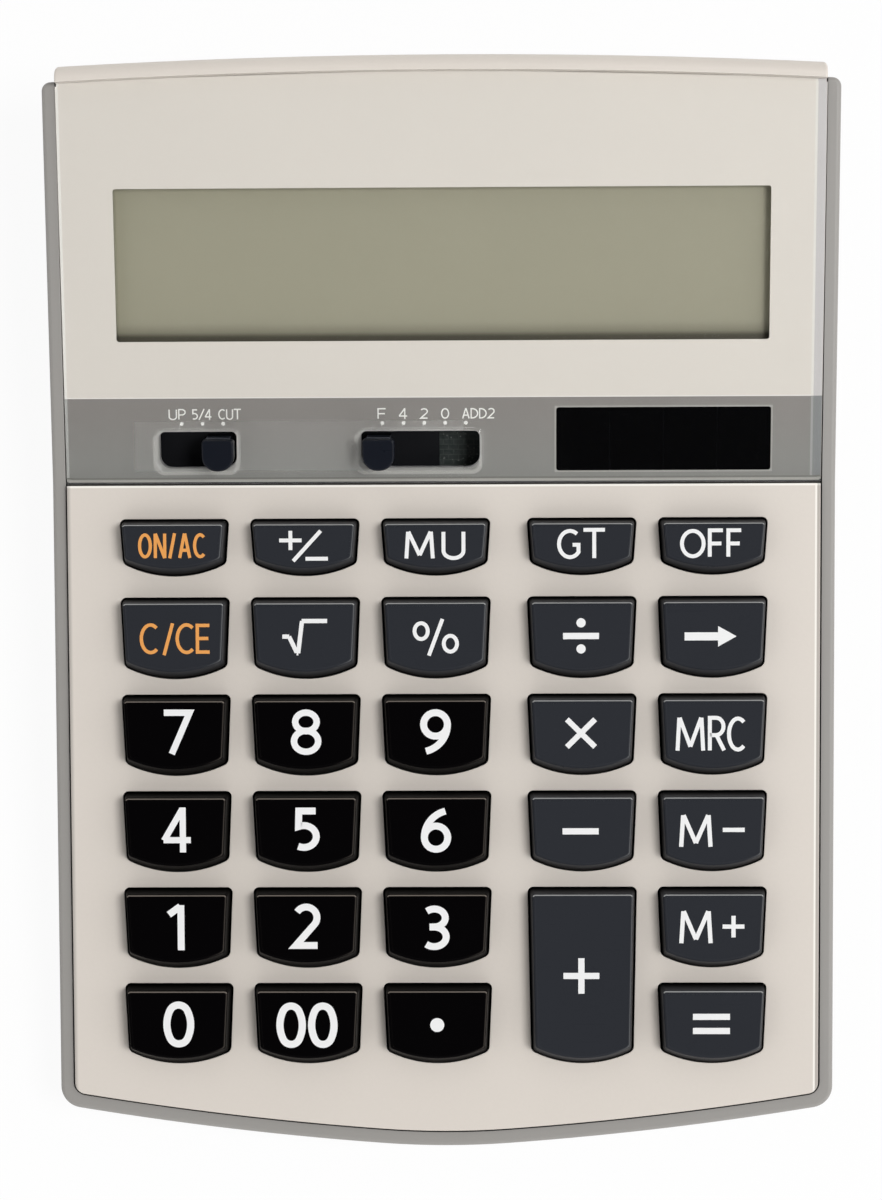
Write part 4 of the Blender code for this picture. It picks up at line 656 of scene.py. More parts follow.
def make_lcd():
    glass = block("lcd_tray", (-61.325, 25.2, -4.6), (61.325, 57.198, -2.6))
    round_edges(glass, lambda edge: True, 0.15, 2)
    pick(glass, "faces", lambda face: face.normal.z > 0.99)
    bpy.ops.mesh.inset(thickness=0.25 * MM)
    bpy.ops.mesh.extrude_region_move(TRANSFORM_OT_translate={"value": (0, 0, -1.5 * MM)})
    bpy.ops.mesh.inset(thickness=0.25 * MM, depth=0.05 * MM)
    put_away()
    smooth(glass)
    return settle(glass, DISPLAY)


# Legends, as pen strokes: each path is a start and its strokes, in a box (left, bottom, right, top)

RING = [((1, 0), [(0, 0, 360, 28)])]
OVAL = [((1.573, -2.717), [(-4, 0, 51.98, 10), (0, 1.95, 128.02, 14), (4, 0, 51.98, 10), (0, -1.95, 128.02, 14)])]
GLYPHS = {
    "0": ((-2.2, -3.7, 2.2, 3.7), OVAL),
    "1": ((0, 0, 2.5, 10), [((2.5, 10), [(2.5, 0)]), ((0, 7.9), [(2.4, 9.75)])]),
    "2": ((0.2, 0, 5.8, 10), [((0.62, 8.75), [(2.95, 7.3, -188, 16), (0.2, 0), (5.8, 0)])]),
    "3": ((0.4, 0, 5.0, 10), [((0.75, 9.35), [(2.35, 7.6, -222, 16), (1.3, 5.2)]),
                              ((1.3, 5.2), [(2.3, 5.2), (2.3, 2.6, -222, 18)])]),
    "4": ((0, 0, 6.2, 10), [((6.2, 2.6), [(0, 2.6)]), ((0.1, 2.5), [(4.3, 9.9)]), ((4.4, 10.3), [(4.4, -0.3)])]),
    "5": ((0.4, 0, 5.2, 10), [((5.0, 10), [(1.0, 10), (0.9, 5.8), (2.15, 3.1, -232, 18)])]),
    "6": ((0, 0, 6, 9.85), [((6, 3), [(3, 3, 360, 26)]), ((0, 3), [(7, 3, -77, 12)])]),
    "7": ((0, 0, 5.8, 10), [((0, 10), [(5.8, 10), (1.7, 0)])]),
    "8": ((0.15, 0, 5.45, 9.9), [((5.15, 7.55), [(2.8, 7.55, 360, 24)]), ((5.45, 2.65), [(2.8, 2.65, 360, 26)])]),
    "9": ((0, 0, 6, 9.85), [((0, 6.85), [(3, 6.85, 360, 26)]), ((6, 6.85), [(-1, 6.85, -77, 12)])]),
    "A": ((0, 0, 6, 10), [((0, 0), [(2.9, 10)]), ((3.1, 10), [(6, 0)]), ((1.1, 3.2), [(4.9, 3.2)])]),
    "C": ((-5, -5, 3.4, 5), [((3.2, 3.84), [(0, 0, 260, 20)])]),
    "D": ((0, 0, 6, 10), [((0, 0), [(0, 10), (1, 10), (1, 5, -180, 18), (0, 0)])]),
    "E": ((0, 0, 4.4, 10), [((4.4, 10), [(0, 10), (0, 0), (4.4, 0)]), ((0, 5.1), [(4.0, 5.1)])]),
    "F": ((0, 0, 4.4, 10), [((4.4, 10), [(0, 10), (0, 0)]), ((0, 5.0), [(3.9, 5.0)])]),
    "G": ((-5, -5, 3.9, 5), [((3.2, 3.84), [(0, 0, 258, 20), (3.9, -3.1), (3.9, -0.3), (1.2, -0.3)])]),
    "M": ((0, 0, 7.4, 10), [((0, 0), [(0.5, 10)]), ((0.6, 10), [(3.7, 1.2)]), ((3.7, 1.2), [(6.8, 10)]),
                            ((6.9, 10), [(7.4, 0)])]),
    "N": ((0, 0, 5.6, 10), [((0, 0), [(0, 10)]), ((0.1, 10), [(5.5, 0)]), ((5.6, 0), [(5.6, 10)])]),
    "O": ((-1, -1, 1, 1), RING),
    "P": ((0, 0, 4.9, 10), [((0, 0), [(0, 10), (2.2, 10), (2.2, 7.3, -180, 12), (0, 4.6)])]),
    "R": ((0, 0, 5.2, 10), [((0, 0), [(0, 10), (2.3, 10), (2.3, 7.35, -180, 12), (0, 4.7)]),
                            ((2.4, 4.7), [(5.2, 0)])]),
    "T": ((0, 0, 5.6, 10), [((0, 10), [(5.6, 10)]), ((2.8, 10), [(2.8, 0)])]),
    "U": ((0, 0, 5.6, 10), [((0, 10), [(0, 2.8), (2.8, 2.8, 180, 14), (5.6, 10)])]),
    "/": ((0, 0, 3.4, 10), [((0, 0), [(3.4, 10)])]),
    "x": ((0, 0, 1, 1), [((0, 0), [(1, 1)]), ((0, 1), [(1, 0)])]),
    "+": ((0, 0, 1, 1), [((0, 0.5), [(1, 0.5)]), ((0.5, 0), [(0.5, 1)])]),
    "-": ((0, 0, 1, 0), [((0, 0), [(1, 0)])]),
    "=": ((0, 0, 1, 1), [((0, 0), [(1, 0)]), ((0, 1), [(1, 1)])]),
    "root": ((0, 0, 49, 35), [((0, 18.5), [(7.6, 18.5)]), ((7.4, 18.5), [(15.6, 1.6)]), ((15.4, 0.8), [(17.4, 0.8)]),
                              ((17.2, 0.8), [(21.6, 35)]), ((21.2, 35), [(49, 35)])]),
}
WIDTHS = {"0": 5.6, "O": 6.4, "/": 3.0, "C": 5.6, "G": 6.2}
# How much of a stroke's width a glyph's own outline adds, across and up; 1 where nothing is given
REACH = {"+": (0, 0), "-": (0, 1), "=": (0, 1), "x": (0.7, 0.7), "1": (0.8, 0), "7": (0.5, 0.5), "4": (1, 0.3),
         "T": (0, 0.5), "E": (0.5, 1), "F": (0.5, 0.5), "M": (1, 0.4), "N": (1, 0.2), "A": (1, 0.2), "U": (1, 0.5),
         "P": (1, 0.5), "R": (1, 0.5), "/": (1, 0)}
PRINT_STEP = 0.003


def write(name, words, ink_low, ink_high, stroke):
    """Prints glyphs: each of words is (glyph, centre x, centre y, width, height) over all, in millimetres."""
    bpy.ops.object.select_all(action="DESELECT")
    piece = None
    level = 0
    for glyph, centre_x, centre_y, width, height in words:
        (left, bottom, right, top), paths = GLYPHS[glyph]
        reach = REACH.get(glyph, (1, 1))
        across = (width - stroke * reach[0]) / max(right - left, 1e-6)
        along = (height - stroke * reach[1]) / (top - bottom) if top > bottom else 1
        for start, strokes in paths:
            if piece is None:
                piece = set_down(name, *start)
            else:
                bpy.ops.mesh.select_all(action="DESELECT")
                bpy.ops.mesh.primitive_plane_add(size=MM)
                bpy.ops.transform.translate(value=(start[0] * MM, start[1] * MM, 0))
                bpy.ops.mesh.merge(type="CENTER")
            trace(start, strokes)
            bpy.ops.mesh.select_linked()
            bpy.ops.transform.resize(value=(across, along, 1), center_override=(0, 0, 0))
            middle = ((left + right) / 2 * across, (bottom + top) / 2 * along)
            shift = ((centre_x - middle[0]) * MM, (centre_y - middle[1]) * MM, (ink_low + level * PRINT_STEP) * MM)
            bpy.ops.transform.translate(value=shift)
            bpy.ops.mesh.remove_doubles(threshold=0.004 * MM)
            level += 1
    bpy.ops.mesh.select_all(action="SELECT")
    bpy.ops.mesh.extrude_region_move(TRANSFORM_OT_translate={"value": (0, 0, (ink_high - ink_low) * MM)})
    put_away()
    finish_modifier(piece, "SOLIDIFY", thickness=stroke * MM, offset=0, use_even_offset=True, use_rim=True)
    hold(piece)
    bpy.ops.object.mode_set(mode="EDIT")
    bpy.ops.mesh.select_all(action="SELECT")
    bpy.ops.mesh.normals_make_consistent(inside=False)
    put_away()
    return piece


def spell(text, centre_x, centre_y, width, height, stroke, gap=2.2):
    """Places the letters of a word side by side, to a given width over all."""
    natural = []
    for letter in text:
        (left, bottom, right, top), paths = GLYPHS[letter]
        natural.append(WIDTHS.get(letter, right - left))
    total = sum(natural) + gap * (len(text) - 1)
    scale = (width - stroke) / total
    x = centre_x - width / 2 + stroke / 2
    words = []
    for letter, wide in zip(text, natural):
        words.append((letter, x + wide * scale / 2, centre_y, wide * scale + stroke, height))
        x += (wide + gap) * scale
    return words


def dot(name, x, y, radius, low, high):
    return post(name, x, y, radius, low, high, 28)


INK_LOW, INK_HIGH = 3.93, 3.975
LEGENDS = {
    "key_7": [("7", 0.47, 0.84, 5.45, 8.4)], "key_8": [("8", 0.16, 1.0, 5.76, 8.6)],
    "key_9": [("9", -0.11, 0.98, 5.78, 8.6)], "key_4": [("4", 0.3, 0.93, 6.3, 8.4)],
    "key_5": [("5", 0.11, 0.98, 5.1, 8.3)], "key_6": [("6", -0.11, 0.8, 5.7, 8.55)],
    "key_1": [("1", -0.29, 0.72, 3.31, 8.6)], "key_2": [("2", -0.03, 0.95, 5.41, 8.6)],
    "key_3": [("3", -0.2, 0.65, 5.31, 8.5)], "key_0": [("0", 0.21, 0.62, 5.87, 8.8)],
    "key_00": [("0", -3.1, 0.45, 5.6, 8.7), ("0", 2.9, 0.45, 5.6, 8.7)],
    "key_multiply": [("x", -0.28, 0.69, 5.99, 5.92)], "key_minus": [("-", -0.38, 0.53, 6.8, 1.3)],
    "key_plus": [("+", -0.27, 0.63, 6.77, 6.77)], "key_equals": [("=", -0.36, 0.65, 6.98, 3.88)],
    "key_divide": [("-", -0.25, 0.57, 6.72, 1.3)],
}
SMALL_LEGENDS = {
    "key_on": spell("ON/AC", -0.1, 0.62, 12.69, 4.7, 0.6, 2.9), "key_mu": spell("MU", -0.06, 0.59, 11.4, 5.28, 0.72, 3.0),
    "key_gt": spell("GT", -0.23, 0.68, 8.94, 5.64, 0.72), 
    "key_off": [("O", -3.99, 0.68, 4.77, 5.46), ("F", 0.39, 0.68, 2.8, 5.3), ("F", 3.82, 0.68, 2.75, 5.3)],
    "key_clear": [("C", -4.55, 0.3, 3.6, 5.85), ("/", -0.95, 0.2, 2.3, 6.0), ("C", 2.2, 0.3, 3.6, 5.85),
                  ("E", 5.65, 0.28, 2.6, 5.65)], "key_mrc": [("M", -4.4, 0.45, 5.54, 6.5), ("R", 0.58, 0.45, 3.42, 6.5),
                                                      ("C", 4.23, 0.45, 3.57, 6.6)],
    "key_root": [("root", 0.07, 0.45, 9.23, 6.99)],
    "key_percent": [("O", -2.71, 1.58, 3.2, 3.7), ("O", 2.75, -0.8, 3.2, 3.7), ("/", 0.0, 0.42, 3.3, 6.88)],
    "key_sign": [("+", -2.48, 1.55, 4.2, 3.6), ("/", 0.6, 0.5, 5.9, 5.65), ("-", 2.42, -1.9, 4.2, 0.8)],
    "key_m_minus": [("M", -3.35, 0.55, 6.3, 6.3), ("-", 3.75, 0.75, 4.1, 0.95)],
    "key_m_plus": [("M", -3.3, 0.69, 6.3, 6.4), ("+", 3.75, 0.8, 4.1, 4.1)],
}
STROKES = {"key_0": 1.36, "key_00": 1.36, "key_8": 1.2, "key_multiply": 1.02, "key_minus": 1.18, "key_plus": 1.18,
           "key_equals": 1.18, "key_divide": 1.18, "key_on": 0.6, "key_clear": 0.64, "key_m_plus": 0.8,
           "key_m_minus": 0.8, "key_mrc": 0.74, "key_root": 0.8, "key_7": 1.2,
           "key_4": 1.16}


def make_legends():
    """One printed legend for every key, in its place on the key's face."""
    legends = {}
    for key, (x, v, length, row, column) in KEYS.items():
        name = key.replace("key_", "legend_")
        if key in LEGENDS:
            piece = write(name, LEGENDS[key], INK_LOW, INK_HIGH, STROKES.get(key, 1.3))
        elif key in SMALL_LEGENDS:
            piece = write(name, SMALL_LEGENDS[key], INK_LOW, INK_HIGH, STROKES.get(key, 0.72))
        elif key == "key_point":
            piece = dot(name, -0.06, 0.47, 1.33, INK_LOW, INK_HIGH)
        elif key == "key_backspace":
            piece = slab(name, (-5.5, -0.33), [(0.75, -0.33), (0.75, -1.5), (4.2, 0.43), (0.75, 2.36), (0.75, 1.19),
                         (-5.5, 1.19), (-5.5, -0.33)], INK_LOW, INK_HIGH)
        if key == "key_divide":
            piece = gather([piece, dot("dot", -0.25, 3.05, 0.87, INK_LOW, INK_HIGH),
                            dot("dot", -0.25, -1.85, 0.87, INK_LOW, INK_HIGH)], name)
        legends[key] = settle(piece, DECK @ Matrix.Translation((x * MM, v * MM, 0)))
    return legends


def make_labels():
    """What is printed beside the switches, under the clear panel."""
    low, high, stroke = -2.03, -2.012, 0.25
    words = []
    for text, left, right in (("UP", -51.41, -48.15), ("CUT", -42.07, -37.79), ("F", -12.14, -10.59),
                              ("4", -8.3, -6.5), ("2", -4.2, -2.7), ("0", -0.29, 1.25), ("ADD2", 3.64, 9.8)):
        words += spell(text, (left + right) / 2, 13.05, right - left, 2.0, stroke, 1.9)
    words += [("5", -46.45, 13.05, 1.2, 2.0), ("/", -45.2, 13.05, 1.25, 2.1), ("4", -43.95, 13.05, 1.45, 2.0)]
    labels = write("switch_labels", words, low, high, stroke)
    dots = [dot("dot", x, 11.27, 0.37, low, high) for x in (-48.98, -45.06, -41.16, -11.29, -7.33, -3.42, 0.49, 4.36)]
    return settle(gather([labels, *dots], "switch_labels"), DISPLAY)


# Materials

def colour_value(red, green, blue):
    """A colour as written on a screen, 0 to 255, in Blender's linear values."""
    return (*[((part / 255 + 0.055) / 1.055) ** 2.4 if part > 10.3 else part / 255 / 12.92
              for part in (red, green, blue)], 1)


def add(tree, kind, **inputs):
    """Adds a node; names of inputs use underscores for spaces."""
    node = tree.nodes.new(kind)
    for name, value in inputs.items():
        node.inputs[name.replace("_", " ")].default_value = value
    return node


def sum_of(tree, operation, first, second):
    """A Math node on two sockets or numbers."""
    node = tree.nodes.new("ShaderNodeMath")
    node.operation = operation
    for place, value in enumerate((first, second)):
        if hasattr(value, "is_linked"):
            tree.links.new(value, node.inputs[place])
        else:
            node.inputs[place].default_value = value
    return node.outputs[0]


def span(tree, value, low, high, out_low=0.0, out_high=1.0, smooth=True):
    """Maps a range onto another, held at its ends."""
    node = tree.nodes.new("ShaderNodeMapRange")
    node.interpolation_type = "SMOOTHSTEP" if smooth else "LINEAR"
    for name, number in (("From Min", low), ("From Max", high), ("To Min", out_low), ("To Max", out_high)):
        node.inputs[name].default_value = number
    tree.links.new(value, node.inputs["Value"])
    return node.outputs["Result"]


def blend_colours(tree, share, first, second):
    """Mixes two colours, given as sockets or values, by a share."""
    node = tree.nodes.new("ShaderNodeMix")
    node.data_type = "RGBA"
    for socket, value in ((node.inputs["Factor"], share), (node.inputs[6], first), (node.inputs[7], second)):
        if hasattr(value, "is_linked"):
            tree.links.new(value, socket)
        else:
            socket.default_value = value
    return node.outputs[2]


def new_group(name, inputs, outputs):
    """An empty node group with named sockets: (name, type, value)."""
    group = bpy.data.node_groups.new(name, "ShaderNodeTree")
    for socket_name, kind, value in inputs:
        socket = group.interface.new_socket(socket_name, in_out="INPUT", socket_type="NodeSocket" + kind)
        socket.default_value = value
    for socket_name, kind in outputs:
        group.interface.new_socket(socket_name, in_out="OUTPUT", socket_type="NodeSocket" + kind)
    return group, group.nodes.new("NodeGroupInput"), group.nodes.new("NodeGroupOutput")


def make_moulded_skin():
    """Moulded plastic: a fine spark-eroded grain, slow shifts of tone and gloss, and faint handling marks."""
    group, given, result = new_group("Moulded skin", (
        ("Color", "Color", (0.5, 0.5, 0.5, 1)), ("Grain Size", "Float", 900.0), ("Grain Depth", "Float", 0.15),
        ("Tone Shift", "Float", 0.04), ("Gloss", "Float", 0.4), ("Marks", "Float", 0.3),
    ), (("Color", "Color"), ("Roughness", "Float"), ("Normal", "Vector")))
    place = group.nodes.new("ShaderNodeTexCoord").outputs["Object"]
    link = group.links.new
    grain = add(group, "ShaderNodeTexNoise", Detail=3.0, Roughness=0.62)
    link(place, grain.inputs["Vector"])
    link(given.outputs["Grain Size"], grain.inputs["Scale"])
    slow = add(group, "ShaderNodeTexNoise", Scale=22.0, Detail=3.0)
    link(place, slow.inputs["Vector"])
    middle = add(group, "ShaderNodeTexNoise", Scale=160.0, Detail=4.0, Roughness=0.6)
    link(place, middle.inputs["Vector"])
    scratch_place = group.nodes.new("ShaderNodeMapping")
    scratch_place.inputs["Rotation"].default_value = (0, 0, radians(24))
    scratch_place.inputs["Scale"].default_value = (1.0, 26.0, 6.0)
    link(place, scratch_place.inputs["Vector"])
    scratch = add(group, "ShaderNodeTexNoise", Scale=60.0, Detail=2.0)
    link(scratch_place.outputs["Vector"], scratch.inputs["Vector"])
    marks = span(group, scratch.outputs["Fac"], 0.66, 0.74)

    tone = sum_of(group, "ADD", sum_of(group, "SUBTRACT", slow.outputs["Fac"], 0.5),
                  sum_of(group, "MULTIPLY", sum_of(group, "SUBTRACT", grain.outputs["Fac"], 0.5), 0.9))
    tone = sum_of(group, "MULTIPLY", tone, given.outputs["Tone Shift"])
    bright = group.nodes.new("ShaderNodeHueSaturation")
    link(given.outputs["Color"], bright.inputs["Color"])
    link(sum_of(group, "ADD", tone, 1.0), bright.inputs["Value"])
    link(bright.outputs["Color"], result.inputs["Color"])

    gloss = sum_of(group, "MULTIPLY", sum_of(group, "SUBTRACT", middle.outputs["Fac"], 0.5), 0.16)
    gloss = sum_of(group, "ADD", gloss, given.outputs["Gloss"])
    worn = sum_of(group, "MULTIPLY", sum_of(group, "MULTIPLY", marks, given.outputs["Marks"]), 0.12)
    link(sum_of(group, "SUBTRACT", gloss, worn), result.inputs["Roughness"])
    height = sum_of(group, "SUBTRACT", grain.outputs["Fac"], sum_of(group, "MULTIPLY", worn, 0.6))
    bump = add(group, "ShaderNodeBump", Distance=0.00006)
    link(height, bump.inputs["Height"])
    link(given.outputs["Grain Depth"], bump.inputs["Strength"])
    link(bump.outputs["Normal"], result.inputs["Normal"])
    return group


def make_edge_wear_and_highlight():
    """Where a piece turns a sharp edge, as a mask for wear and for painted highlights: found by comparing the rounded
    normal with the flat one.
    """
    group, given, result = new_group("Worn and highlighted edges", (("Width", "Float", 0.0003), ("Break Up", "Float", 0.5)),
                                     (("Mask", "Float"),))
    link = group.links.new
    rounded = group.nodes.new("ShaderNodeBevel")
    rounded.samples = 4
    link(given.outputs["Width"], rounded.inputs["Radius"])
    flat = group.nodes.new("ShaderNodeNewGeometry")
    compare = group.nodes.new("ShaderNodeVectorMath")
    compare.operation = "DOT_PRODUCT"
    link(rounded.outputs["Normal"], compare.inputs[0])
    link(flat.outputs["Normal"], compare.inputs[1])
    turn = span(group, compare.outputs["Value"], 0.99, 0.80)
    place = group.nodes.new("ShaderNodeTexCoord").outputs["Object"]
    patches = add(group, "ShaderNodeTexNoise", Scale=260.0, Detail=3.0)
    link(place, patches.inputs["Vector"])
    broken = span(group, patches.outputs["Fac"], 0.35, 0.65)
    kept = sum_of(group, "SUBTRACT", 1.0, sum_of(group, "MULTIPLY", sum_of(group, "SUBTRACT", 1.0, broken),
                                                given.outputs["Break Up"]))
    link(sum_of(group, "MULTIPLY", turn, kept), result.inputs["Mask"])
    return group


SKIN = make_moulded_skin()
EDGE_WEAR_AND_HIGHLIGHT = make_edge_wear_and_highlight()


def start_material(name):
    """An empty node material with a Principled shader."""
    material = bpy.data.materials.new(name)
    material.use_nodes = True
    return material, material.node_tree, material.node_tree.nodes["Principled BSDF"]


def use_group(tree, group, **inputs):
    node = tree.nodes.new("ShaderNodeGroup")
    node.node_tree = group
    for name, value in inputs.items():
        node.inputs[name.replace("_", " ")].default_value = value
    return node


def display_place(tree, slope=DISPLAY_SLOPE, height=PANEL_AT_SEAM):
    """Object coordinates turned into a slope that starts at the seam, in millimetres: across, along and above."""
    turned = tree.nodes.new("ShaderNodeMapping")
    turned.vector_type = "TEXTURE"
    turned.inputs["Location"].default_value = (0, SEAM_Y * MM, height * MM)
    turned.inputs["Rotation"].default_value = (radians(slope), 0, 0)
    turned.inputs["Scale"].default_value = (MM, MM, MM)
    tree.links.new(tree.nodes.new("ShaderNodeTexCoord").outputs["Object"], turned.inputs["Vector"])
    parts = tree.nodes.new("ShaderNodeSeparateXYZ")
    tree.links.new(turned.outputs["Vector"], parts.inputs["Vector"])
    return parts.outputs


def wall_shade(tree, start, full, inner):
    """Painted shade on upright walls from a depth below the rail on; on the inner side alone, or up to the back wall.
    """
    parts = tree.nodes.new("ShaderNodeSeparateXYZ")
    place = tree.nodes.new("ShaderNodeTexCoord").outputs["Object"]
    tree.links.new(place, parts.inputs["Vector"])
    rails = []
    for slope in (DECK_SLOPE, RAIL_SLOPE):
        climb = tan(radians(slope))
        rails.append(sum_of(tree, "ADD", sum_of(tree, "MULTIPLY", parts.outputs["Y"], climb),
                            (RAIL_AT_SEAM - SEAM_Y * climb) * MM))
    depth = sum_of(tree, "SUBTRACT", sum_of(tree, "MAXIMUM", *rails), parts.outputs["Z"])
    facing = tree.nodes.new("ShaderNodeSeparateXYZ")
    normal = tree.nodes.new("ShaderNodeTexCoord").outputs["Normal"]
    tree.links.new(normal, facing.inputs["Vector"])
    upright = span(tree, sum_of(tree, "ABSOLUTE", facing.outputs["Z"], 0.0), 0.96, 0.8)
    if inner:
        outward = tree.nodes.new("ShaderNodeVectorMath")
        outward.operation = "DOT_PRODUCT"
        tree.links.new(place, outward.inputs[0])
        tree.links.new(normal, outward.inputs[1])
        side = span(tree, outward.outputs["Value"], 0.0, -5 * MM)
    else:
        side = span(tree, parts.outputs["Y"], 98.2 * MM, 97.8 * MM)
    shade = sum_of(tree, "MULTIPLY", sum_of(tree, "MULTIPLY", upright, side), span(tree, depth, start * MM, full * MM))
    return sum_of(tree, "MULTIPLY", shade, 0.97)


def cover_shade(tree):
    """Painted shade on the cover's walls in its gaps, on its rounded side edges, and on its seat where it shows by the
    panel.
    """
    place = display_place(tree)
    seat = sum_of(tree, "MULTIPLY", span(tree, place[2], -1.2, -1.5), span(tree, place[1], 0.9, 0.6))
    seat = sum_of(tree, "MULTIPLY", seat, span(tree, place[2], -2.6, -2.5))
    shade = sum_of(tree, "MAXIMUM", wall_shade(tree, -0.9, -0.65, False), sum_of(tree, "MULTIPLY", seat, 0.92))
    deck = display_place(tree, DECK_SLOPE, DECK_AT_SEAM)
    left = span(tree, deck[0], -69.95, -70.7, 0.0, 0.34)
    right = span(tree, deck[0], 70.1, 70.3, 0.0, 0.34)
    turning_edge_shade = sum_of(tree, "MULTIPLY", sum_of(tree, "ADD", left, right), span(tree, deck[1], 0.2, 0.1))
    turning_edge_shade = sum_of(tree, "MULTIPLY", turning_edge_shade, span(tree, deck[2], -1.0, -0.8))
    return sum_of(tree, "MAXIMUM", shade, turning_edge_shade)


def cover_light(tree):
    """Painted highlight where the deck's back and right edges turn over and catch the light."""
    place = display_place(tree, DECK_SLOPE, DECK_AT_SEAM)
    above = span(tree, place[2], -0.5, -0.35)
    back = sum_of(tree, "MULTIPLY", span(tree, place[1], -0.66, -0.56), span(tree, place[1], 0.2, 0.1))
    side = sum_of(tree, "MULTIPLY", span(tree, place[0], 69.75, 69.85), span(tree, place[0], 70.2, 70.1))
    side = sum_of(tree, "MULTIPLY", side, span(tree, place[1], 0.2, 0.1))
    return sum_of(tree, "MULTIPLY", sum_of(tree, "MAXIMUM", back, side), above)


def key_shade(tree):
    """Painted shade down a key's walls, where the opening keeps the light out."""
    place = display_place(tree, DECK_SLOPE, DECK_AT_SEAM)
    return span(tree, place[2], 0.6, 3.5, 0.9, 0.0)


def key_light(tree):
    """A painted highlight line where a key's rim starts to turn over, at its back and more faintly at its right."""
    facing = tree.nodes.new("ShaderNodeSeparateXYZ")
    tree.links.new(tree.nodes.new("ShaderNodeTexCoord").outputs["Normal"], facing.inputs["Vector"])
    rim = sum_of(tree, "MULTIPLY", span(tree, facing.outputs["Z"], 0.55, 0.7), span(tree, facing.outputs["Z"], 0.93, 0.86))
    back = span(tree, facing.outputs["Y"], 0.12, 0.25)
    right = span(tree, facing.outputs["X"], 0.15, 0.3, 0.0, 0.22)
    return sum_of(tree, "MULTIPLY", rim, sum_of(tree, "MAXIMUM", back, right))


def moulded(name, colour, gloss, grain=1400.0, depth=0.15, tone=0.05, marks=0.3, edge=None, edge_share=0.5,
            edge_width=0.0003, metal=0.0, specular=0.5, shade=None, dark=(9, 8, 7), lit=None):
    """Plastic, rubber or metal with the moulded skin; where an edge colour is given, sharp edges are lightened in it,
    partly as wear and partly as a painted highlight.
    """
    material, tree, shader = start_material(name)
    skin = use_group(tree, SKIN, Color=colour, Grain_Size=grain, Grain_Depth=depth, Tone_Shift=tone, Gloss=gloss,
                     Marks=marks)
    colour_out, rough = skin.outputs["Color"], skin.outputs["Roughness"]
    # Sharp edges lightened in the edge colour: partly wear, partly a painted highlight.
    if edge:
        worn_and_lit = use_group(tree, EDGE_WEAR_AND_HIGHLIGHT, Width=edge_width, Break_Up=0.45)
        share = sum_of(tree, "MULTIPLY", worn_and_lit.outputs["Mask"], edge_share)
        colour_out = blend_colours(tree, share, colour_out, edge)
    shader.inputs["Specular IOR Level"].default_value = specular
    # Painted highlight line in the edge colour, where a lit mask is given.
    if lit:
        colour_out = blend_colours(tree, sum_of(tree, "MULTIPLY", lit(tree), 0.85), colour_out, edge)
    # Painted shade in the dark colour, where a shade mask is given; the shaded parts are made rougher too.
    if shade:
        mask = shade(tree)
        colour_out = blend_colours(tree, mask, colour_out, colour_value(*dark))
        rough = sum_of(tree, "ADD", rough, sum_of(tree, "MULTIPLY", mask, 0.35))
    tree.links.new(colour_out, shader.inputs["Base Color"])
    tree.links.new(rough, shader.inputs["Roughness"])
    tree.links.new(skin.outputs["Normal"], shader.inputs["Normal"])
    shader.inputs["Metallic"].default_value = metal
    return material


def box_mask(tree, place, left, right, front, back, soft=0.02):
    """1 inside a rectangle on the panel, 0 outside."""
    mask = sum_of(tree, "MULTIPLY", span(tree, place[0], left - soft, left + soft),
                  span(tree, place[0], right + soft, right - soft))
    mask = sum_of(tree, "MULTIPLY", mask, span(tree, place[1], front - soft, front + soft))
    return sum_of(tree, "MULTIPLY", mask, span(tree, place[1], back + soft, back - soft))


def ring_mask(tree, place, middle, half, corner):
    """1 on a soft line along a rounded rectangle, 0 elsewhere."""
    squares = []
    for value, centre, reach in zip(place, middle, half):
        away = sum_of(tree, "ABSOLUTE", sum_of(tree, "SUBTRACT", value, centre), 0.0)
        away = sum_of(tree, "MAXIMUM", sum_of(tree, "SUBTRACT", away, reach - corner), 0.0)
        squares.append(sum_of(tree, "MULTIPLY", away, away))
    away = sum_of(tree, "SUBTRACT", sum_of(tree, "SQRT", sum_of(tree, "ADD", *squares), 0.0), corner)
    return sum_of(tree, "MULTIPLY", span(tree, away, -0.75, -0.25), span(tree, away, 0.14, -0.05))


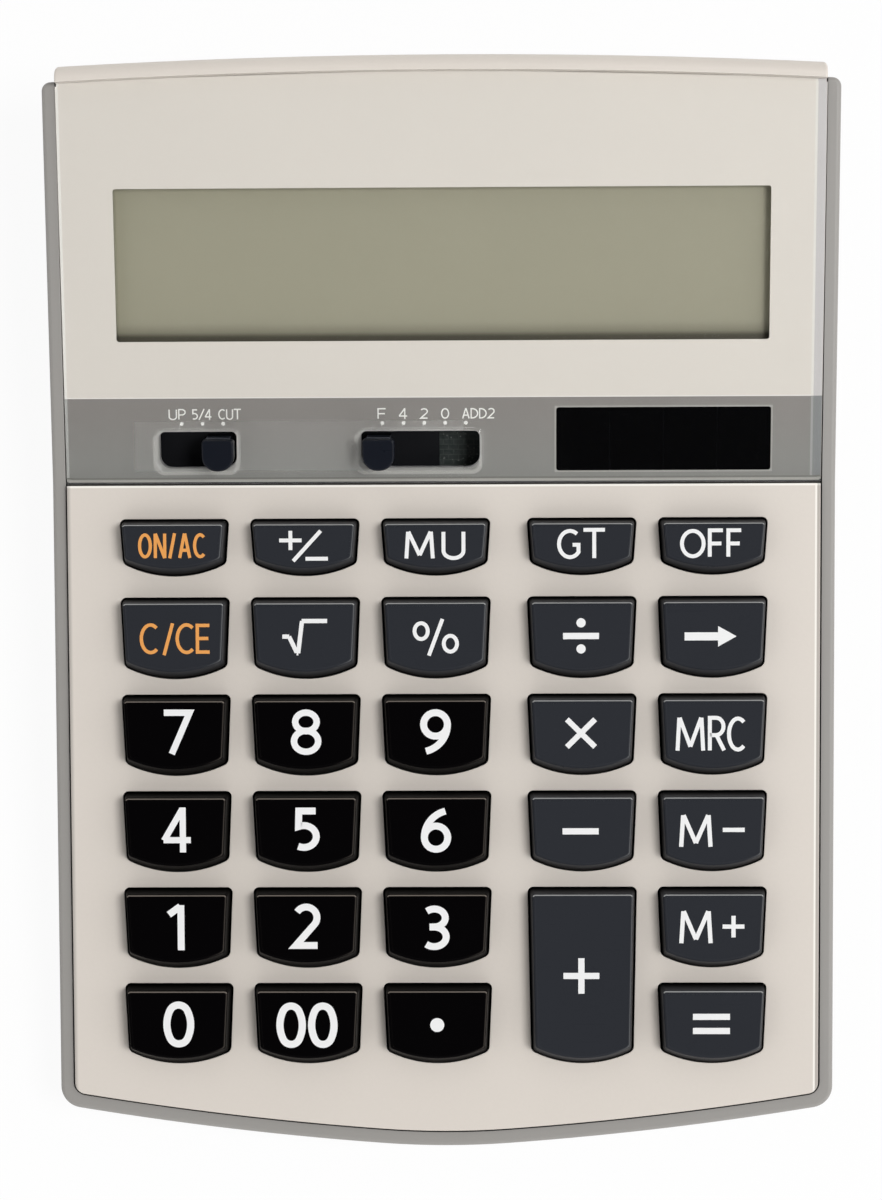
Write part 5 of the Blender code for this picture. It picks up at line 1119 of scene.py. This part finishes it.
def make_print_ink():
    """Cream ink with a grey band along the front and a thin pale line round the solar window, with painted highlights
    round the slot dishes and along the panel's side edges, and painted shade along its right bevel and front edge.
    """
    material, tree, shader = start_material("panel_ink")
    skin = use_group(tree, SKIN, Color=colour_value(226, 220, 211), Grain_Size=2600.0, Grain_Depth=0.05,
                     Tone_Shift=0.035, Gloss=0.5, Marks=0.0)
    place = display_place(tree)
    band = span(tree, place[1], 16.10, 16.02)
    fade = span(tree, place[1], 0.0, 16.3)
    grey = blend_colours(tree, fade, colour_value(135, 135, 131), colour_value(134, 130, 126))
    colour = blend_colours(tree, band, skin.outputs["Color"], grey)
    thin = sum_of(tree, "MULTIPLY", span(tree, place[1], 16.04, 16.08), span(tree, place[1], 16.30, 16.22))
    colour = blend_colours(tree, thin, colour, colour_value(240, 236, 230))
    line = box_mask(tree, place, 20.97, 61.73, 1.85, 14.4, 0.03)
    colour = blend_colours(tree, line, colour, colour_value(164, 163, 157))
    # Painted highlight: a pale ring where each slot's dish catches light.
    for x, width in SLOTS:
        ring = ring_mask(tree, place, (x - 0.35, 6.0), (width / 2 + 1.0, 4.4), 2.2)
        colour = blend_colours(tree, sum_of(tree, "MULTIPLY", ring, 0.6), colour, colour_value(196, 195, 190))
    # Painted highlight: a thin pale line along the panel's left edge.
    aside = place[0]
    left = span(tree, aside, -70.2, -70.35)
    colour = blend_colours(tree, left, colour, blend_colours(tree, band, colour_value(238, 235, 228),
                                                            colour_value(172, 172, 168)))
    # Painted shade: a darker strip under the panel's right bevel.
    strip = span(tree, aside, 69.2, 69.3)
    colour = blend_colours(tree, strip, colour, blend_colours(tree, band, colour_value(204, 201, 200),
                                                             colour_value(132, 134, 134)))
    # Painted highlight: a thin pale line just inside that strip.
    rim = sum_of(tree, "MULTIPLY", span(tree, aside, 68.75, 68.85), span(tree, aside, 69.3, 69.2))
    colour = blend_colours(tree, rim, colour, blend_colours(tree, band, colour_value(232, 229, 222),
                                                           colour_value(158, 159, 156)))
    # Painted shade along the front edge: a darker strip under the front bevel, a darker line behind it, and a
    # near-black line for the gap at the seam.
    front = span(tree, place[1], 0.85, 0.75)
    colour = blend_colours(tree, front, colour, colour_value(168, 166, 159))
    seam = sum_of(tree, "MULTIPLY", span(tree, place[1], 0.75, 0.85), span(tree, place[1], 1.15, 1.05))
    colour = blend_colours(tree, seam, colour, colour_value(118, 117, 112))
    colour = blend_colours(tree, span(tree, place[1], 0.36, 0.30), colour, colour_value(20, 19, 18))
    tree.links.new(colour, shader.inputs["Base Color"])
    tree.links.new(skin.outputs["Roughness"], shader.inputs["Roughness"])
    tree.links.new(skin.outputs["Normal"], shader.inputs["Normal"])
    return material


def make_crystal():
    """Reflective liquid crystal: grey-green with a faint fibre, with painted shade where the window's edge stands over
    it.
    """
    material, tree, shader = start_material("liquid_crystal")
    skin = use_group(tree, SKIN, Color=colour_value(160, 157, 137), Grain_Size=5200.0, Grain_Depth=0.05,
                     Tone_Shift=0.05, Gloss=0.42, Marks=0.0)
    place = display_place(tree)
    # Painted shade along the front, right and left edges of the window.
    front = span(tree, place[1], 27.0, 30.4, 0.40, 0.0)
    edge = span(tree, place[1], 27.2, 28.3, 0.42, 0.0)
    right = span(tree, place[0], 61.2, 58.8, 0.15, 0.0)
    left = span(tree, place[0], -60.9, -60.3, 0.25, 0.0)
    shade = sum_of(tree, "ADD", sum_of(tree, "ADD", front, edge), sum_of(tree, "MAXIMUM", right, left))
    shade = sum_of(tree, "MINIMUM", shade, 0.9)
    colour = blend_colours(tree, shade, skin.outputs["Color"], colour_value(44, 40, 28))
    tree.links.new(colour, shader.inputs["Base Color"])
    tree.links.new(skin.outputs["Roughness"], shader.inputs["Roughness"])
    tree.links.new(skin.outputs["Normal"], shader.inputs["Normal"])
    shader.inputs["Specular IOR Level"].default_value = 0.3
    return material


def make_clear():
    """Clear acrylic that lets light through to what lies under it; its cut faces at the sides, front and slots are
    darkened as painted shade of the gaps beside them.
    """
    material, tree, shader = start_material("clear_acrylic_panel")
    shader.inputs["Transmission Weight"].default_value = 1.0
    shader.inputs["IOR"].default_value = 1.45
    place = display_place(tree)
    # Painted shade: the cut faces are darkened, and frosted.
    cut = sum_of(tree, "MULTIPLY", span(tree, place[2], -0.52, -0.6), span(tree, place[2], -1.98, -1.9))
    bowed = sum_of(tree, "ADD", place[1], sum_of(tree, "MULTIPLY", sum_of(tree, "MULTIPLY", place[0], place[0]), 1 / 2760))
    painted_cut_shade = sum_of(tree, "MULTIPLY", cut, span(tree, bowed, 76.2, 75.6))
    glass_colour = blend_colours(tree, painted_cut_shade, (0.985, 0.985, 0.98, 1), (0.34, 0.33, 0.35, 1))
    tree.links.new(glass_colour, shader.inputs["Base Color"])
    smear = add(tree, "ShaderNodeTexNoise", Scale=45.0, Detail=5.0)
    tree.links.new(tree.nodes.new("ShaderNodeTexCoord").outputs["Object"], smear.inputs["Vector"])
    haze = span(tree, smear.outputs["Fac"], 0.5, 0.75, 0.02, 0.09)
    dish = box_mask(tree, place, -58.0, 4.0, 2.2, 11.8, 0.3)
    dish = sum_of(tree, "MULTIPLY", dish, span(tree, place[2], -0.01, -0.06))
    matt = sum_of(tree, "MULTIPLY", sum_of(tree, "MAXIMUM", cut, dish), 0.3)
    tree.links.new(sum_of(tree, "ADD", haze, matt), shader.inputs["Roughness"])
    clear = tree.nodes.new("ShaderNodeBsdfTransparent")
    clear.inputs["Color"].default_value = (0.97, 0.97, 0.97, 1)
    choose = tree.nodes.new("ShaderNodeMixShader")
    rays = tree.nodes.new("ShaderNodeLightPath")
    passing = sum_of(tree, "MAXIMUM", rays.outputs["Is Shadow Ray"], rays.outputs["Is Diffuse Ray"])
    passing = sum_of(tree, "MAXIMUM", passing, span(tree, bowed, 75.6, 75.8))
    tree.links.new(passing, choose.inputs["Fac"])
    tree.links.new(shader.outputs["BSDF"], choose.inputs[1])
    tree.links.new(clear.outputs["BSDF"], choose.inputs[2])
    tree.links.new(choose.outputs["Shader"], tree.nodes["Material Output"].inputs["Surface"])
    return material


def make_solar():
    """Thin-film solar cell: near-black glass with faint cell divisions."""
    material, tree, shader = start_material("solar_film")
    place = display_place(tree)
    wave = sum_of(tree, "ABSOLUTE", sum_of(tree, "SUBTRACT", sum_of(tree, "FRACT", sum_of(
        tree, "MULTIPLY", sum_of(tree, "SUBTRACT", place[0], 21.27), 1 / 10.04), 0.0), 0.5), 0.0)
    seam = span(tree, wave, 0.485, 0.497)
    film = use_group(tree, SKIN, Color=(0.0008, 0.0008, 0.0011, 1), Grain_Size=3000.0, Grain_Depth=0.02,
                     Tone_Shift=0.3, Gloss=0.12, Marks=0.0)
    colour = blend_colours(tree, seam, film.outputs["Color"], (0.0018, 0.0018, 0.0024, 1))
    tree.links.new(colour, shader.inputs["Base Color"])
    tree.links.new(film.outputs["Roughness"], shader.inputs["Roughness"])
    shader.inputs["Specular IOR Level"].default_value = 0.04
    return material


def make_board():
    """Circuit board: green solder mask over faint tracks and a speckle of joints."""
    material, tree, shader = start_material("solder_mask")
    place = tree.nodes.new("ShaderNodeTexCoord").outputs["Object"]
    tracks = add(tree, "ShaderNodeTexBrick", Scale=260.0, Mortar_Size=0.03)
    tracks.inputs["Color1"].default_value = (0.018, 0.026, 0.024, 1)
    tracks.inputs["Color2"].default_value = (0.024, 0.033, 0.030, 1)
    tracks.inputs["Mortar"].default_value = (0.040, 0.050, 0.045, 1)
    tree.links.new(place, tracks.inputs["Vector"])
    joints = add(tree, "ShaderNodeTexVoronoi", Scale=1100.0)
    tree.links.new(place, joints.inputs["Vector"])
    spots = span(tree, joints.outputs["Distance"], 0.22, 0.16)
    colour = blend_colours(tree, spots, tracks.outputs["Color"], (0.11, 0.12, 0.11, 1))
    grain = add(tree, "ShaderNodeTexNoise", Scale=1500.0, Detail=2.0)
    tree.links.new(place, grain.inputs["Vector"])
    tree.links.new(colour, shader.inputs["Base Color"])
    tree.links.new(span(tree, grain.outputs["Fac"], 0.3, 0.7, 0.28, 0.45), shader.inputs["Roughness"])
    bump = add(tree, "ShaderNodeBump", Distance=0.00005, Strength=0.5)
    tree.links.new(spots, bump.inputs["Height"])
    tree.links.new(bump.outputs["Normal"], shader.inputs["Normal"])
    return material


def make_ribbon():
    """Flat cable: pale plastic with a row of grey conductors along it."""
    material, tree, shader = start_material("flat_cable")
    parts = tree.nodes.new("ShaderNodeSeparateXYZ")
    tree.links.new(tree.nodes.new("ShaderNodeTexCoord").outputs["Object"], parts.inputs["Vector"])
    wave = sum_of(tree, "FRACT", sum_of(tree, "MULTIPLY", parts.outputs["X"], 1 / 0.001), 0.0)
    line = span(tree, sum_of(tree, "ABSOLUTE", sum_of(tree, "SUBTRACT", wave, 0.5), 0.0), 0.22, 0.28)
    skin = use_group(tree, SKIN, Color=(0.62, 0.60, 0.54, 1), Grain_Size=2500.0, Grain_Depth=0.05,
                     Tone_Shift=0.08, Gloss=0.4, Marks=0.1)
    colour = blend_colours(tree, line, (0.30, 0.30, 0.29, 1), skin.outputs["Color"])
    tree.links.new(colour, shader.inputs["Base Color"])
    tree.links.new(skin.outputs["Roughness"], shader.inputs["Roughness"])
    tree.links.new(skin.outputs["Normal"], shader.inputs["Normal"])
    return material


# Cream and grey: painted shade in the gaps, and edges lightened partly as wear and partly as a painted highlight; the
# cream also has painted highlights on the deck's edges.
cream = moulded("cream_shell", colour_value(220, 212, 203), 0.46, 1500.0, 0.16, 0.045, 0.4,
                colour_value(252, 248, 240), 0.6, shade=cover_shade, lit=cover_light)
grey = moulded("grey_tray", colour_value(154, 151, 147), 0.48, 1500.0, 0.18, 0.05, 0.4,
               colour_value(190, 189, 183), 0.35, shade=lambda tree: wall_shade(tree, 0.0, 0.12, True))
# Keys: painted shade down their walls and a painted highlight line along the rim's back and right.
slate = moulded("slate_keys", colour_value(45, 47, 52), 0.30, 2200.0, 0.07, 0.10, 0.5,
                colour_value(172, 173, 172), 0.02, 0.0002, specular=0.025, shade=key_shade, lit=key_light)
black = moulded("black_keys", colour_value(6, 5, 6), 0.26, 2200.0, 0.05, 0.12, 0.5,
                colour_value(128, 120, 112), 0.01, 0.0002, specular=0.008, shade=key_shade, lit=key_light)


def pad_shade(tree):
    """Painted shade, near-black, where the switch lies deep under the panel."""
    return span(tree, display_place(tree)[2], -0.8, -2.2, 0.0, 1.0)


# Switch pads: painted shade where they lie under the panel; the edge colour is a painted highlight along their edges.
knob_black = moulded("switch_pads", colour_value(20, 23, 31), 0.30, 2000.0, 0.10, 0.15, 0.3,
                     colour_value(110, 112, 120), 0.7, specular=0.15, shade=pad_shade, dark=(3, 4, 9))
white_ink = moulded("white_ink", colour_value(238, 238, 238), 0.5, 3000.0, 0.04, 0.03, 0.0)
orange_ink = moulded("orange_ink", colour_value(232, 158, 78), 0.5, 3000.0, 0.04, 0.05, 0.0)
label_ink = moulded("label_ink", colour_value(240, 240, 235), 0.5, 3000.0, 0.03, 0.03, 0.0)
rubber = moulded("foot_rubber_skin", (0.018, 0.018, 0.019, 1), 0.75, 1100.0, 0.4, 0.2, 0.6, (0.06, 0.06, 0.06, 1), 0.5)
steel = moulded("plated_steel", (0.56, 0.55, 0.53, 1), 0.27, 2600.0, 0.08, 0.08, 0.7, metal=1.0)
print_ink = make_print_ink()
crystal = make_crystal()
clear = make_clear()

INNER = {
    "solar_cell": make_solar(),
    "display_board": make_board(),
    "ribbon_cable": make_ribbon(),
    "lcd_holder": moulded("white_frame", (0.70, 0.70, 0.68, 1), 0.45, 1600.0, 0.12, 0.05, 0.2),
    "zebra_strip": moulded("contact_strip_rubber", (0.09, 0.08, 0.08, 1), 0.7, 900.0, 0.3, 0.25, 0.1),
    "rubber_mat": moulded("mat_rubber", (0.16, 0.16, 0.165, 1), 0.66, 800.0, 0.3, 0.12, 0.2),
    "controller_chip": moulded("chip_epoxy", (0.012, 0.012, 0.013, 1), 0.32, 1200.0, 0.3, 0.3, 0.1),
    "solar_lead": moulded("lead_metal", (0.72, 0.36, 0.20, 1), 0.3, 2400.0, 0.1, 0.1, 0.3, metal=1.0),
    "rounding_wiper": moulded("spring_metal", (0.70, 0.55, 0.30, 1), 0.28, 2400.0, 0.1, 0.1, 0.4, metal=1.0),
    "coin_cell": steel,
}
INNER["key_board"] = INNER["display_board"]
INNER["decimal_wiper"] = INNER["rounding_wiper"]
INNER["cell_contact_top"] = INNER["rounding_wiper"]
INNER["cell_contact_side"] = INNER["rounding_wiper"]
for node in frame["nodes"]:
    if "screw" in node:
        INNER[node] = steel


# Putting it together

def dress(piece, material, body, slot, *nodes):
    """Gives a finished piece its material and body, and hides the nodes it stands for; the slot is not used."""
    piece.data.materials.clear()
    piece.data.materials.append(material)
    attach(piece, body)
    if nodes:
        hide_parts(*nodes)


for node, material in INNER.items():
    for place in frame["nodes"][node].material_slots:
        place.material = material

dress(make_tray(), grey, "case", "grey_plastic", "base_case")
dress(make_cover(), cream, "case", "cream_plastic", "upper_case")
dress(make_panel(), clear, "case", "clear_acrylic", "display_lens")
dress(make_print(), print_ink, "case", None)
dress(make_lcd(), crystal, "case", "lcd_glass", "lcd_glass")
dress(make_labels(), label_ink, "case", None)
dress(make_lid(), grey, "battery_door", "grey_plastic", "battery_door")
foot = make_foot()
for node in ("foot_front_left", "foot_front_right", "foot_back_left", "foot_back_right"):
    low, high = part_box(node)
    place = Matrix.Translation(((low.x + high.x) / 2, (low.y + high.y) / 2, 0))
    dress(twin(foot, node.replace("foot", "rubber_foot"), place), rubber, "case", "foot_rubber", node)
bpy.data.objects.remove(foot)
dress(make_switch("rounding_pad", -41.975), knob_black, "rounding_switch", "knob_plastic", "rounding_knob")
dress(make_switch("decimal_pad", -11.975), knob_black, "decimal_switch", "knob_plastic", "decimal_knob")

for key, cap in make_keys().items():
    numbers = KEYS[key][3] > 1 and KEYS[key][4] < 3
    dress(cap, black if numbers else slate, key, "black_key_plastic" if numbers else "slate_key_plastic", key)
for key, legend in make_legends().items():
    dress(legend, orange_ink if key in ("key_on", "key_clear") else white_ink, key, None)


# Floor, light and camera

def make_floor():
    """White table that keeps a faint shadow of the object."""
    bpy.ops.mesh.primitive_plane_add(size=6)
    floor = bpy.context.object
    floor.name = "floor"
    material, tree, shader = start_material("white_table")
    shader.inputs["Base Color"].default_value = (0.93, 0.93, 0.93, 1)
    shader.inputs["Roughness"].default_value = 0.9
    glow = tree.nodes.new("ShaderNodeEmission")
    rays = tree.nodes.new("ShaderNodeLightPath")
    seen = sum_of(tree, "MAXIMUM", rays.outputs["Is Camera Ray"], rays.outputs["Is Glossy Ray"])
    seen = sum_of(tree, "MAXIMUM", seen, rays.outputs["Is Transmission Ray"])
    choose = tree.nodes.new("ShaderNodeMixShader")
    tree.links.new(sum_of(tree, "MULTIPLY", seen, 0.93), choose.inputs["Fac"])
    tree.links.new(shader.outputs["BSDF"], choose.inputs[1])
    tree.links.new(glow.outputs["Emission"], choose.inputs[2])
    tree.links.new(choose.outputs["Shader"], tree.nodes["Material Output"].inputs["Surface"])
    floor.data.materials.append(material)


def make_light():
    """Pale walls that darken overhead and towards the back, and one wide lamp up to the right."""
    world = bpy.data.worlds.new("studio")
    bpy.context.scene.world = world
    world.use_nodes = True
    tree = world.node_tree
    parts = tree.nodes.new("ShaderNodeSeparateXYZ")
    tree.links.new(tree.nodes.new("ShaderNodeTexCoord").outputs["Generated"], parts.inputs["Vector"])
    walls = span(tree, parts.outputs["Z"], 0.90, 0.68, 0.02, 0.82)
    side = sum_of(tree, "SUBTRACT", sum_of(tree, "MULTIPLY", parts.outputs["X"], 0.5), parts.outputs["Y"])
    walls = sum_of(tree, "MULTIPLY", walls, span(tree, side, -0.8, 0.8, 0.75, 1.25))
    skirting = span(tree, parts.outputs["Z"], 0.16, 0.06)
    tree.links.new(sum_of(tree, "MAXIMUM", skirting, walls), tree.nodes["Background"].inputs[1])
    tree.nodes["Background"].inputs[0].default_value = (1, 1, 1, 1)
    for name, place, size, power in (("window_lamp", (0.9, 0.064, 1.75), 0.67, 20.9),):
        lamp = bpy.data.lights.new(name, "AREA")
        lamp.size = size
        lamp.energy = power
        holder = bpy.data.objects.new(name, lamp)
        holder.location = place
        holder.rotation_euler = (-Vector(place)).to_track_quat("-Z", "Y").to_euler()
        bpy.context.scene.collection.objects.link(holder)


def make_camera():
    lens = bpy.data.cameras.new("camera")
    lens.sensor_fit = "VERTICAL"
    lens.sensor_height = 24
    lens.lens = 61.66
    lens.clip_start = 0.01
    holder = bpy.data.objects.new("camera", lens)
    holder.location = (0.01058, 0.0021, 0.600)
    holder.rotation_euler = (0, radians(1.09), radians(-0.191))
    bpy.context.scene.collection.objects.link(holder)
    bpy.context.scene.camera = holder


make_floor()
make_light()
make_camera()
bpy.context.scene.view_settings.view_transform = "Standard"
